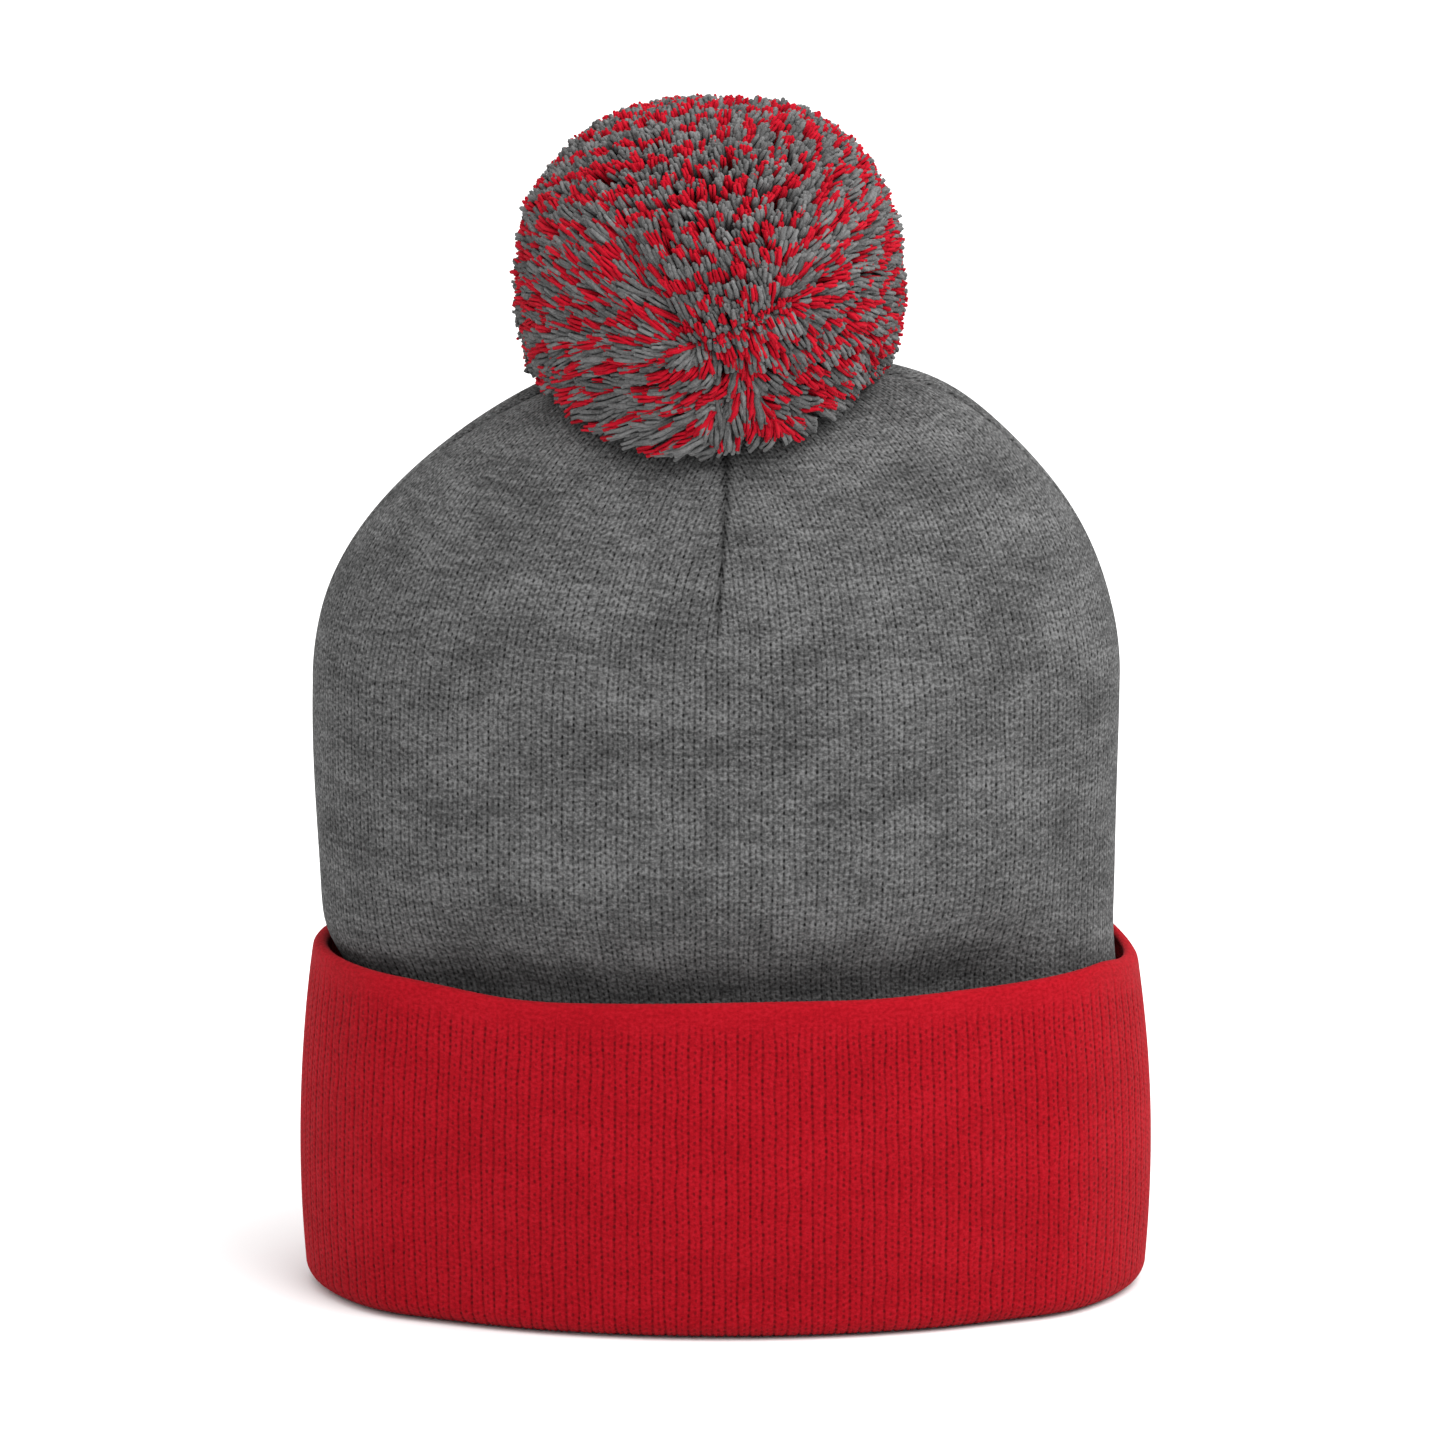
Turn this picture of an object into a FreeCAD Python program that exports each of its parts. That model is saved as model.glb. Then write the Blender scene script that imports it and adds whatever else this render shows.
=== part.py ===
import FreeCAD, Part
import math
import os
import Sketcher

# Pom pom beanie with a turned-up cuff, in millimetres.
# The frame: +Z up, -Y towards the front, and +X to the right of someone looking at the front.
# The origin is in the middle of the surface that the cuff stands on.
# The hat is a knitted double tube, lightly filled out, so every level section is an ellipse
# that is wider (X) than it is deep (Y).

DRIVING_SIZES = [
    ("depth_difference", 37.5, "half width minus half depth, the same for every layer"),
    ("cuff_height", 76.0, "3 inch turn-up"),
    ("cuff_foot_half_width", 93.2, "outside, where the bottom roll begins"),
    ("cuff_rim_half_width", 91.4, "outside, just under the hem"),
    ("cuff_barrel_radius", 320.0, "upright curve of the cuff's bulge"),
    ("cuff_roll_radius", 8.5, "the fold at the cuff's bottom"),
    ("cuff_press", 0.3, "how far the fold is pressed flat where it stands"),
    ("cuff_layer", 1.5, "one knitted layer of the cuff"),
    ("cuff_layer_gap", 0.2, "air between the cuff's two layers"),
    ("hem_radius", 1.75, "the rounded hem on top of the cuff, 0.4 clear of the wall inside it"),
    ("mouth_half_width", 80.6, "the opening for the head"),
    ("shell_layer", 1.5, "outer knitted layer"),
    ("seam_space", 1.4, "air between shell and lining, where the seams lie"),
    ("lining_layer", 1.4, "inner knitted layer"),
    ("wall_foot_height", 4.0, "lower end of shell and lining, inside the cuff's fold"),
    ("wall_foot_half_width", 84.4, "shell, outside, at its lower end"),
    ("wall_mid_height", 40.0, "level half way up the cuff"),
    ("wall_mid_half_width", 86.6, "shell, outside, half way up the cuff"),
    ("wall_rim_half_width", 87.5, "shell, outside, level with the cuff's hem"),
    ("wall_upper_height", 104.0, "level above the cuff where the wall stands nearly upright"),
    ("wall_upper_half_width", 88.6, "shell, outside, at that level"),
    ("dome_foot_height", 134.5, "widest level, where the crown starts to close"),
    ("dome_half_width", 89.2, "shell, outside, at the widest level"),
    ("dome_rise", 75.5, "from the widest level to the top of the crown"),
    ("tie_hole_radius", 2.6, "where the pom pom's tie goes through the crown"),
    ("dart_foot_height", 157.0, "lower end of each of the four darts"),
    ("dart_start", 7.5, "upper end of each dart, from the crown's middle"),
    ("thread_width", 1.2, "row of seam stitches"),
    ("thread_depth", 0.5, "thickness of a row of stitches"),
    ("thread_air", 0.1, "between a row of stitches and the layer that it closes"),
    ("apex_stitch_ring", 4.4, "radius of the ring of stitches round the tie hole"),
    ("apex_stitch_thickness", 1.0, "its yarn's diameter"),
    ("apex_stitch_air", 0.08, "between that ring and the layer that it lies on"),
    ("pompom_half_width", 42.5, "ball of yarn, X and Y"),
    ("pompom_half_height", 39.5, "ball of yarn, Z"),
    ("pompom_centre_height", 227.5, "its middle"),
    ("grey_bundle_angle", 50.5, "one of four bundles of grey yarn"),
    ("red_bundle_angle", 38.5, "one of four bundles of red yarn"),
    ("bundle_gap_angle", 0.5, "between neighbouring bundles"),
    ("seat_top_height", 216.5, "top of the hollow under the ball"),
    ("seat_half_width", 200.0, "curve of that hollow, X"),
    ("seat_half_depth", 60.0, "curve of that hollow, Y"),
    ("seat_rise", 50.0, "curve of that hollow, Z"),
    ("tie_band_radius", 6.0, "tight loop round the yarn's waist"),
    ("tie_cord_diameter", 2.0, "the loop's cord"),
    ("tie_band_air", 0.2, "between the loop and the yarn"),
    ("tie_tail_diameter", 1.5, "one of the cord's two ends"),
    ("tie_tail_offset", 0.95, "each end's distance from the crown's middle"),
    ("tie_tail_foot_height", 205.9, "where the ends meet the knot"),
    ("tie_tail_top_height", 218.0, "where the ends go into the yarn"),
    ("tie_channel_radius", 4.6, "hollow up the ball's middle for the ends"),
    ("knot_radius", 3.6, "knot inside the crown"),
    ("knot_half_height", 2.6, "knot inside the crown"),
    ("knot_air", 0.3, "between the knot and the lining"),
    ("label_width", 25.0, "blank care label"),
    ("label_height", 38.0, "blank care label"),
    ("label_layer", 0.5, "folded satin ribbon"),
    ("label_air", 0.9, "between the flat label and the curved lining, at the label's middle"),
    ("label_foot_height", 30.0, "lower end of the label"),
    ("label_stitch_length", 3.0, "one tack stitch"),
    ("label_stitch_diameter", 0.7, "its thread"),
    ("label_stitch_inset", 2.5, "from the label's upper corners"),
]

document = FreeCAD.newDocument("pom_pom_beanie")
sheet = document.addObject("Spreadsheet::Sheet", "sizes")
for row, (alias, size, meaning) in enumerate(DRIVING_SIZES, start=1):
    sheet.set(f"A{row}", alias)
    sheet.set(f"B{row}", str(size))
    sheet.setAlias(f"B{row}", alias)
    sheet.set(f"C{row}", meaning)
document.recompute()

SIZES = {alias: size for alias, size, meaning in DRIVING_SIZES}
MARGIN = 5.0                      # how far a cutting form runs past what it cuts
nodes = []                        # (node name, document object), in the order they are written


def bound(item, **expressions):
    """Bind an object's properties to expressions in the sheet's aliases."""
    for name, expression in expressions.items():
        path = ".Placement.Base." + name if name in ("x", "y", "z") else name
        item.setExpression(path, expression)
    return item


def aliases(expression):
    """Write sizes.NAME for each of the sheet's aliases in an expression."""
    words = expression.replace("(", "( ").replace(")", " )").split()
    return " ".join("sizes." + word if word in SIZES else word for word in words)


def keep(item, node):
    """Mark a document object as the sub-part called node."""
    item.Label = node
    nodes.append((node, item))
    return item


def cut(name, base, tool):
    result = document.addObject("Part::Cut", name)
    result.Base = base
    result.Tool = tool
    return result


def common(name, first, second):
    result = document.addObject("Part::Common", name)
    result.Base = first
    result.Tool = second
    return result


def fuse(name, pieces):
    result = document.addObject("Part::MultiFuse", name)
    result.Shapes = pieces
    return result


def level_ellipse(name, half_width, height):
    """A level ellipse round the Z axis, wider than it is deep."""
    ring = document.addObject("Part::Ellipse", name)
    return bound(
        ring,
        MajorRadius=aliases(half_width),
        MinorRadius=aliases(half_width + " - depth_difference"),
        z=aliases(height),
    )


def dome(name, inset):
    """The crown's upper half, an ellipsoid cut at its widest level, inset from the shell's outside."""
    form = document.addObject("Part::Ellipsoid", name)
    form.Angle1 = 0.0
    return bound(
        form,
        Radius1=aliases(f"dome_rise - ( {inset} )"),
        Radius2=aliases(f"dome_half_width - ( {inset} )"),
        Radius3=aliases(f"dome_half_width - depth_difference - ( {inset} )"),
        z=aliases("dome_foot_height"),
    )


def hat_form(name, inset, foot_height):
    """The whole wall and crown as one solid form, inset from the shell's outside."""
    stations = [
        ("foot", "wall_foot_half_width", foot_height),
        ("mid", "wall_mid_half_width", "wall_mid_height"),
        ("rim", "wall_rim_half_width", "cuff_height"),
        ("upper", "wall_upper_half_width", "wall_upper_height"),
        ("widest", "dome_half_width", "dome_foot_height"),
    ]
    wall = document.addObject("Part::Loft", name + "_wall")
    wall.Sections = [
        level_ellipse(f"{name}_{level}", f"{half_width} - ( {inset} )", height)
        for level, half_width, height in stations
    ]
    wall.Solid = True
    return fuse(name, [wall, dome(name + "_dome", inset)])


def tie_hole():
    hole = document.addObject("Part::Cylinder", "tie_hole")
    return bound(
        hole,
        Radius=aliases("tie_hole_radius"),
        Height=aliases("dome_rise"),
        z=aliases("dome_foot_height + dome_rise / 2"),
    )


def fabric_layer(node, outer_inset, layer, hole):
    """One knitted layer: wall and crown in one piece, open below, with the tie's hole on top."""
    outside = hat_form(node + "_outside", outer_inset, "wall_foot_height")
    inner_inset = f"{outer_inset} + {layer}"
    inside = hat_form(node + "_inside", inner_inset, f"wall_foot_height - {MARGIN}")
    hollow = cut(node + "_hollow", outside, inside)
    return keep(cut(node, hollow, hole), node)


# ---------------------------------------------------------------- shell and lining

LINING_INSET = "shell_layer + seam_space"
LINING_INSIDE = "shell_layer + seam_space + lining_layer"

hole = tie_hole()
fabric_layer("outer_shell", "0", "shell_layer", hole)
fabric_layer("lining", LINING_INSET, "lining_layer", hole)

# ---------------------------------------------------------------- cuff


def profile(name, corners, curves):
    """A closed upright sketch in the XZ plane.

    corners are (x, z) pairs of expressions. curves maps the number of the side that
    starts at that corner to (radius expression, True where the side bulges to its right).
    """
    sketch = document.addObject("Sketcher::SketchObject", name)
    sketch.Placement = FreeCAD.Placement(
        FreeCAD.Vector(0, 0, 0), FreeCAD.Rotation(FreeCAD.Vector(1, 0, 0), 90)
    )
    points = [FreeCAD.Vector(value(x), value(z), 0) for x, z in corners]
    for side, start in enumerate(points):
        end = points[(side + 1) % len(points)]
        if side in curves:
            radius, bulges_right = curves[side]
            sketch.addGeometry(arc_between(start, end, value(radius), bulges_right))
            number = sketch.addConstraint(Sketcher.Constraint("Radius", side, value(radius)))
            sketch.setExpression(f"Constraints[{number}]", aliases(radius))
        else:
            sketch.addGeometry(Part.LineSegment(start, end))
    pin_corners(sketch, corners, points)
    return sketch


def value(expression):
    """The number that an expression in the sheet's aliases comes to."""
    return float(sheet.evalExpression(aliases(expression).replace("sizes.", "")))


def arc_between(start, end, radius, bulges_right):
    """The shorter arc of this radius from start to end."""
    chord = end - start
    middle = (start + end) / 2
    right = FreeCAD.Vector(chord.y, -chord.x, 0).normalize()
    rise = radius - math.sqrt(radius ** 2 - (chord.Length / 2) ** 2)
    side = 1 if bulges_right else -1
    return Part.Arc(start, middle + right * rise * side, end)


def pin_corners(sketch, corners, points):
    """Join the sides at each corner and tie the corner's place to the sheet."""
    first_end = {}
    for side in range(len(points)):
        for end in (1, 2):
            place = sketch.getPoint(side, end)
            corner = min(range(len(points)), key=lambda i: points[i].distanceToPoint(place))
            if corner in first_end:
                sketch.addConstraint(
                    Sketcher.Constraint("Coincident", *first_end[corner], side, end)
                )
                continue
            first_end[corner] = (side, end)
            for kind, expression in zip(("DistanceX", "DistanceY"), corners[corner]):
                size = value(expression)
                number = sketch.addConstraint(Sketcher.Constraint(kind, side, end, size))
                sketch.setExpression(f"Constraints[{number}]", aliases(expression))


def cuff_path():
    """The ellipse that the cuff's profiles are swept along, on the inside of the hem."""
    return level_ellipse("cuff_path", HEM_INSIDE, "0")


def swept(name, section, path):
    ring = document.addObject("Part::Sweep", name)
    ring.Sections = [section]
    ring.Spine = (path, ["Edge1"])
    ring.Solid = True
    ring.Frenet = True
    return ring


def pressed_flat(name, ring):
    """Cut away what would lie under the surface that the cuff stands on."""
    ground = document.addObject("Part::Box", "ground")
    bound(
        ground,
        Length=aliases("cuff_foot_half_width * 4"),
        Width=aliases("cuff_foot_half_width * 4"),
        Height=aliases("cuff_roll_radius"),
        x=aliases("cuff_foot_half_width * -2"),
        y=aliases("cuff_foot_half_width * -2"),
        z=aliases("cuff_roll_radius * -1"),
    )
    return cut(name, ring, ground)


HEM_INSIDE = "cuff_rim_half_width - hem_radius * 2"
HEM_FOOT = "cuff_height - hem_radius"
ROLL_CENTRE = "cuff_foot_half_width - cuff_roll_radius"


def cuff_face_profile():
    """Outer layer: the flat edge that it stands on, the roll, the barrel wall and the hem."""
    corners = [
        ("mouth_half_width", "cuff_press * -1"),
        (ROLL_CENTRE, "cuff_press * -1"),
        ("cuff_foot_half_width", "cuff_roll_radius - cuff_press"),
        ("cuff_rim_half_width", HEM_FOOT),
        ("cuff_rim_half_width - hem_radius", "cuff_height"),
        (HEM_INSIDE, HEM_FOOT),
        (HEM_INSIDE, HEM_FOOT + " - cuff_layer_gap"),
        ("cuff_rim_half_width - cuff_layer", HEM_FOOT + " - cuff_layer_gap"),
        ("cuff_foot_half_width - cuff_layer", "cuff_roll_radius"),
        (ROLL_CENTRE, "cuff_layer"),
        ("mouth_half_width", "cuff_layer"),
    ]
    curves = {
        1: ("cuff_roll_radius", True),
        2: ("cuff_barrel_radius", True),
        3: ("hem_radius", True),
        4: ("hem_radius", True),
        7: ("cuff_barrel_radius - cuff_layer", False),
        8: ("cuff_roll_radius - cuff_layer", False),
    }
    return profile("cuff_face_profile", corners, curves)


def cuff_back_profile():
    """Inner layer, turned up behind the outer one, with its lower edge under shell and lining."""
    top = HEM_FOOT + " - cuff_layer_gap * 2"
    outer = "cuff_layer + cuff_layer_gap"
    inner = "cuff_layer * 2 + cuff_layer_gap"
    corners = [
        ("mouth_half_width", outer),
        (ROLL_CENTRE, outer),
        (f"cuff_foot_half_width - ( {outer} )", "cuff_roll_radius"),
        (f"cuff_rim_half_width - ( {outer} )", top),
        (f"cuff_rim_half_width - ( {inner} )", top),
        (f"cuff_foot_half_width - ( {inner} )", "cuff_roll_radius"),
        (ROLL_CENTRE, inner),
        ("mouth_half_width", inner),
    ]
    curves = {
        1: (f"cuff_roll_radius - ( {outer} )", True),
        2: (f"cuff_barrel_radius - ( {outer} )", True),
        4: (f"cuff_barrel_radius - ( {inner} )", False),
        5: (f"cuff_roll_radius - ( {inner} )", False),
    }
    return profile("cuff_back_profile", corners, curves)


path = cuff_path()
face_ring = swept("cuff_face_ring", cuff_face_profile(), path)
keep(pressed_flat("cuff_face_layer", face_ring), "cuff_face_layer")
keep(swept("cuff_back_layer", cuff_back_profile(), path), "cuff_back_layer")

# ---------------------------------------------------------------- crown seams


def stitch_band(name, outer_inset):
    """A thin skin over the crown, as thick as a row of seam stitches."""
    inner_inset = f"{outer_inset} + thread_depth"
    return cut(name, dome(name + "_outside", outer_inset), dome(name + "_inside", inner_inset))


def seam_threads(layer, band):
    """One row of stitches down each of the four darts, by quarter turns from the front."""
    for quarter, side in enumerate(("front", "right", "back", "left")):
        strip = document.addObject("Part::Box", f"{layer}_strip_{side}")
        # The strip lies along local -Y, from the dart's upper end outwards.
        bound(
            strip,
            Width=aliases("dome_half_width"),
            Length=aliases("thread_width"),
            Height=aliases("dome_foot_height + dome_rise - dart_foot_height"),
            z=aliases("dart_foot_height"),
        )
        turn = FreeCAD.Rotation(FreeCAD.Vector(0, 0, 1), 90 * quarter)
        corner = turn.multVec(FreeCAD.Vector(-0.5, -1, 0))
        ahead = turn.multVec(FreeCAD.Vector(0, -1, 0))
        across = turn.multVec(FreeCAD.Vector(-0.5, 0, 0))
        strip.Placement.Rotation = turn
        for axis in ("x", "y"):
            along = round(getattr(ahead, axis))
            aside = round(getattr(across, axis), 1)
            place = f"{along} * ( dome_half_width + dart_start ) + {aside} * thread_width"
            bound(strip, **{axis: aliases(place)})
        node = f"{layer}_seam_thread_{side}"
        keep(common(node, band, strip), node)


seam_threads("crown", stitch_band("crown_stitch_band", "shell_layer + thread_air"))
seam_threads("lining", stitch_band("lining_stitch_band", f"{LINING_INSET} - thread_air - thread_depth"))


def apex_stitch(node, height):
    ring = document.addObject("Part::Torus", node)
    bound(
        ring,
        Radius1=aliases("apex_stitch_ring"),
        Radius2=aliases("apex_stitch_thickness / 2"),
        z=aliases(height),
    )
    return keep(ring, node)


CROWN_TOP = "dome_foot_height + dome_rise"
apex_stitch("crown_apex_stitch", f"{CROWN_TOP} + apex_stitch_thickness / 2 + apex_stitch_air")
# The lining falls away from its middle, so the inner ring hangs a little lower.
apex_stitch(
    "lining_apex_stitch",
    f"{CROWN_TOP} - ( {LINING_INSIDE} ) - apex_stitch_thickness - apex_stitch_air",
)

# ---------------------------------------------------------------- pom pom


def upright_cylinder(name, radius, foot, top):
    rod = document.addObject("Part::Cylinder", name)
    return bound(
        rod,
        Radius=aliases(radius),
        Height=aliases(f"{top} - ( {foot} )"),
        z=aliases(foot),
    )


def tie_loop(name, thickness):
    """The loop round the yarn's waist: it lies in the XZ plane, in the ball's middle."""
    loop = document.addObject("Part::Torus", name)
    loop.Placement.Rotation = FreeCAD.Rotation(FreeCAD.Vector(1, 0, 0), 90)
    return bound(
        loop,
        Radius1=aliases("tie_band_radius"),
        Radius2=aliases(thickness),
        z=aliases("pompom_centre_height"),
    )


def yarn_ball():
    """The whole ball of yarn, hollowed below to clear the crown as it tips."""
    ball = document.addObject("Part::Ellipsoid", "yarn_ball")
    bound(
        ball,
        Radius1=aliases("pompom_half_height"),
        Radius2=aliases("pompom_half_width"),
        Radius3=aliases("pompom_half_width"),
        z=aliases("pompom_centre_height"),
    )
    seat = document.addObject("Part::Ellipsoid", "yarn_seat")
    bound(
        seat,
        Radius1=aliases("seat_rise"),
        Radius2=aliases("seat_half_width"),
        Radius3=aliases("seat_half_depth"),
        z=aliases("seat_top_height - seat_rise"),
    )
    channel = upright_cylinder(
        "tie_channel", "tie_channel_radius", "dome_foot_height", "pompom_centre_height - tie_band_radius"
    )
    groove = tie_loop("tie_groove", "tie_cord_diameter / 2 + tie_band_air")
    return cut("yarn_hollowed", ball, fuse("yarn_hollows", [seat, channel, groove]))


def bundle(node, form, start_angle, angle):
    """The part of the ball between two half planes through the bundle's axis, which lies along Y."""
    sector = document.addObject("Part::Cylinder", node + "_sector")
    bound(
        sector,
        Radius=aliases("pompom_half_width * 2"),
        Height=aliases("pompom_half_width * 2"),
        Angle=aliases(angle),
        y=aliases("pompom_half_width"),
        z=aliases("pompom_centre_height"),
    )
    upright = FreeCAD.Rotation(FreeCAD.Vector(1, 0, 0), 90)
    sector.Placement.Rotation = upright * FreeCAD.Rotation(FreeCAD.Vector(0, 0, 1), start_angle)
    return keep(common(node, form, sector), node)


def yarn_bundles():
    """Grey and red bundles by turns, four of each."""
    form = yarn_ball()
    start_angle = SIZES["grey_bundle_angle"] / 2
    for number in range(1, 5):
        for colour in ("red", "grey"):
            angle = f"{colour}_bundle_angle"
            bundle(f"pompom_{colour}_bundle_{number}", form, start_angle, angle)
            start_angle += SIZES[angle] + SIZES["bundle_gap_angle"]


yarn_bundles()
keep(tie_loop("pompom_tie_band", "tie_cord_diameter / 2"), "pompom_tie_band")

for end, sign in (("front", "-1"), ("back", "1")):
    tail_node = f"pompom_tie_tail_{end}"
    tail = upright_cylinder(
        tail_node, "tie_tail_diameter / 2", "tie_tail_foot_height", "tie_tail_top_height"
    )
    bound(tail, y=aliases(f"{sign} * tie_tail_offset"))
    keep(tail, tail_node)

knot = document.addObject("Part::Ellipsoid", "pompom_knot")
bound(
    knot,
    Radius1=aliases("knot_half_height"),
    Radius2=aliases("knot_radius"),
    Radius3=aliases("knot_radius"),
    z=aliases(f"{CROWN_TOP} - ( {LINING_INSIDE} ) - knot_air - knot_half_height"),
)
keep(knot, "pompom_knot")

# ---------------------------------------------------------------- care label

LABEL_BACK = f"wall_mid_half_width - depth_difference - ( {LINING_INSIDE} ) - label_air"


def care_label():
    """A blank ribbon hanging flat inside the back, made as a sketch and a pad."""
    body = document.addObject("PartDesign::Body", "care_label")
    upright_plane = next(
        plane for plane in body.Origin.OriginFeatures if plane.Role == "XZ_Plane"
    )
    sketch = body.newObject("Sketcher::SketchObject", "label_outline")
    sketch.AttachmentSupport = [(upright_plane, "")]
    sketch.MapMode = "FlatFace"
    half_width = SIZES["label_width"] / 2
    height = SIZES["label_height"]
    corners = [
        FreeCAD.Vector(-half_width, 0, 0),
        FreeCAD.Vector(half_width, 0, 0),
        FreeCAD.Vector(half_width, height, 0),
        FreeCAD.Vector(-half_width, height, 0),
    ]
    for side, start in enumerate(corners):
        sketch.addGeometry(Part.LineSegment(start, corners[(side + 1) % 4]))
    for side in range(4):
        sketch.addConstraint(Sketcher.Constraint("Coincident", side, 2, (side + 1) % 4, 1))
    sketch.addConstraint(Sketcher.Constraint("Horizontal", 2))
    sketch.addConstraint(Sketcher.Constraint("Vertical", 1))
    sketch.addConstraint(Sketcher.Constraint("Vertical", 3))
    sketch.addConstraint(Sketcher.Constraint("PointOnObject", 0, 1, -1))
    sketch.addConstraint(Sketcher.Constraint("Symmetric", 0, 1, 0, 2, -2))
    width_rule = sketch.addConstraint(Sketcher.Constraint("Distance", 0, half_width * 2))
    height_rule = sketch.addConstraint(Sketcher.Constraint("Distance", 1, height))
    sketch.setExpression(f"Constraints[{width_rule}]", aliases("label_width"))
    sketch.setExpression(f"Constraints[{height_rule}]", aliases("label_height"))
    pad = body.newObject("PartDesign::Pad", "label_ribbon")
    pad.Profile = sketch
    bound(pad, Length=aliases("label_layer"))
    bound(body, y=aliases(LABEL_BACK), z=aliases("label_foot_height"))
    return keep(body, "care_label")


def label_stitch(side, sign):
    """A tack stitch lying across one upper corner of the label."""
    node = f"label_stitch_{side}"
    stitch = document.addObject("Part::Cylinder", node)
    stitch.Placement.Rotation = FreeCAD.Rotation(FreeCAD.Vector(0, 1, 0), 90)
    across = f"{sign} * ( label_width / 2 - label_stitch_inset ) - label_stitch_length / 2"
    bound(
        stitch,
        Radius=aliases("label_stitch_diameter / 2"),
        Height=aliases("label_stitch_length"),
        x=aliases(across),
        y=aliases(f"{LABEL_BACK} - label_layer - label_stitch_diameter / 2 - thread_air"),
        z=aliases("label_foot_height + label_height - label_stitch_inset"),
    )
    return keep(stitch, node)


care_label()
label_stitch("left", "-1")
label_stitch("right", "1")

# ---------------------------------------------------------------- check and write

document.recompute()

for item in document.Objects:
    faults = [state for state in item.State if state in ("Invalid", "Error")]
    if faults:
        raise RuntimeError(f"{item.Name} did not build: {item.State}")

os.makedirs("parts", exist_ok=True)
for node, item in nodes:
    shape = item.Shape
    if shape.isNull() or not shape.isValid() or len(shape.Solids) != 1:
        raise RuntimeError(f"{node} is not one sound solid")
    shape.exportStep(os.path.join("parts", node + ".step"))
    box = shape.optimalBoundingBox(True, False)
    print(
        f"{node:26s} {shape.Volume / 1000:8.3f} cm3  "
        f"x {box.XMin:7.2f} {box.XMax:7.2f}  y {box.YMin:7.2f} {box.YMax:7.2f}  "
        f"z {box.ZMin:7.2f} {box.ZMax:7.2f}"
    )
print(len(nodes), "sub-parts")
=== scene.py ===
import math

import bpy
import numpy as np
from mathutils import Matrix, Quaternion, Vector, noise


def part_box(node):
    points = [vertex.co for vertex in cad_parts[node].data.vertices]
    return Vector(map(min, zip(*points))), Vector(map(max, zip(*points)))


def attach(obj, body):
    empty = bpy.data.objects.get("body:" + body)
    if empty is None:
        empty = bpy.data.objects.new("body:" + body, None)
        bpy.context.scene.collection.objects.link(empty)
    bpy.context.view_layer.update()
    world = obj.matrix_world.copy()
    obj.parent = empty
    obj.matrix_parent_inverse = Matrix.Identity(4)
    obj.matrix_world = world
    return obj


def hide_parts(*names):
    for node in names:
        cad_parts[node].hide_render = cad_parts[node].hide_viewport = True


# Pom pom beanie: knitted crown, lining and turned-up cuff, and a ball of cut yarn, in metres.

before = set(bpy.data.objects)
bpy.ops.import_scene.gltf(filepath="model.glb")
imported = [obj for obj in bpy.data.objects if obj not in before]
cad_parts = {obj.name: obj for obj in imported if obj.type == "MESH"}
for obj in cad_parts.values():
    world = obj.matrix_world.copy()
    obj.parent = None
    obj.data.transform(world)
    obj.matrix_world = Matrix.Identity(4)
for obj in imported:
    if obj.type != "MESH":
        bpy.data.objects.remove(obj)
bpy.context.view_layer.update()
MM = 0.001

# ---- sizes, from the frame

SHELL_LOW, SHELL_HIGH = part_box("outer_shell")
CUFF_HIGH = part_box("cuff_face_layer")[1]
KNOT_LOW, KNOT_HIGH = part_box("pompom_knot")
LABEL_LOW, LABEL_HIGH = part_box("care_label")

DEPTH_DIFFERENCE = SHELL_HIGH[0] - SHELL_HIGH[1]  # half width minus half depth of every layer
DOME_FOOT = 134.5 * MM  # the widest level of the crown
DOME_RISE = SHELL_HIGH[2] - DOME_FOOT
WALL_FOOT = SHELL_LOW[2]
CUFF_TOP = CUFF_HIGH[2]
DART_FOOT = 157 * MM

CROWN_WALES = 184  # columns of stitches round the crown
CUFF_WALES = 168  # the cuff is stretched round it, so fewer
COURSE = 1.44 * MM  # height of one row of stitches
LAYER = 1.4 * MM  # thickness of one knitted layer
LINING_INSET = 2.9 * MM  # from the crown's outside to the lining's
RELIEF = 0.3 * MM  # depth of the grooves between wales

CROWN_LEAN = -1.9 * MM  # the crown stands a little to one side
CROWN_FULLNESS = 2.4 * MM  # and a little higher than its plain form
POM_LEAN = -3.6 * MM


# ---- mesh helpers

def smooth_step(low, high, value):
    """0 below low, 1 above high, and a smooth rise between them; works on arrays."""
    part = np.clip((value - low) / (high - low), 0.0, 1.0)
    return part * part * (3.0 - 2.0 * part)


def hill(distance, width):
    """1 where the distance is 0, falling off smoothly on both sides; works on arrays."""
    return np.exp(-((distance / width) ** 2))


def new_mesh(name, points, faces, stitch=None, shading=None):
    """A smooth-shaded object.

    faces are tuples of point numbers. stitch gives each face corner its (wale, course)
    place, as the UV map "stitch". shading maps attribute names to one number per point.
    """
    mesh = bpy.data.meshes.new(name)
    mesh.from_pydata([tuple(p) for p in points], [], [tuple(f) for f in faces])
    mesh.polygons.foreach_set("use_smooth", [True] * len(mesh.polygons))
    if stitch is not None:
        layer = mesh.uv_layers.new(name="stitch")
        layer.data.foreach_set("uv", np.asarray(stitch, dtype=np.float32).ravel())
    for key, numbers in (shading or {}).items():
        attribute = mesh.attributes.new(key, "FLOAT", "POINT")
        attribute.data.foreach_set("value", np.asarray(numbers, dtype=np.float32))
    mesh.validate()
    mesh.update()
    piece = bpy.data.objects.new(name, mesh)
    bpy.context.scene.collection.objects.link(piece)
    return piece


def quads(grid, turned=False):
    """The four corners of each square of a grid of point numbers or places, in order round it."""
    corners = [grid[:-1, :-1], grid[:-1, 1:], grid[1:, 1:], grid[1:, :-1]]
    if turned:
        corners.reverse()
    return np.stack(corners, axis=2).reshape(-1, 4, *grid.shape[2:])


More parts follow.
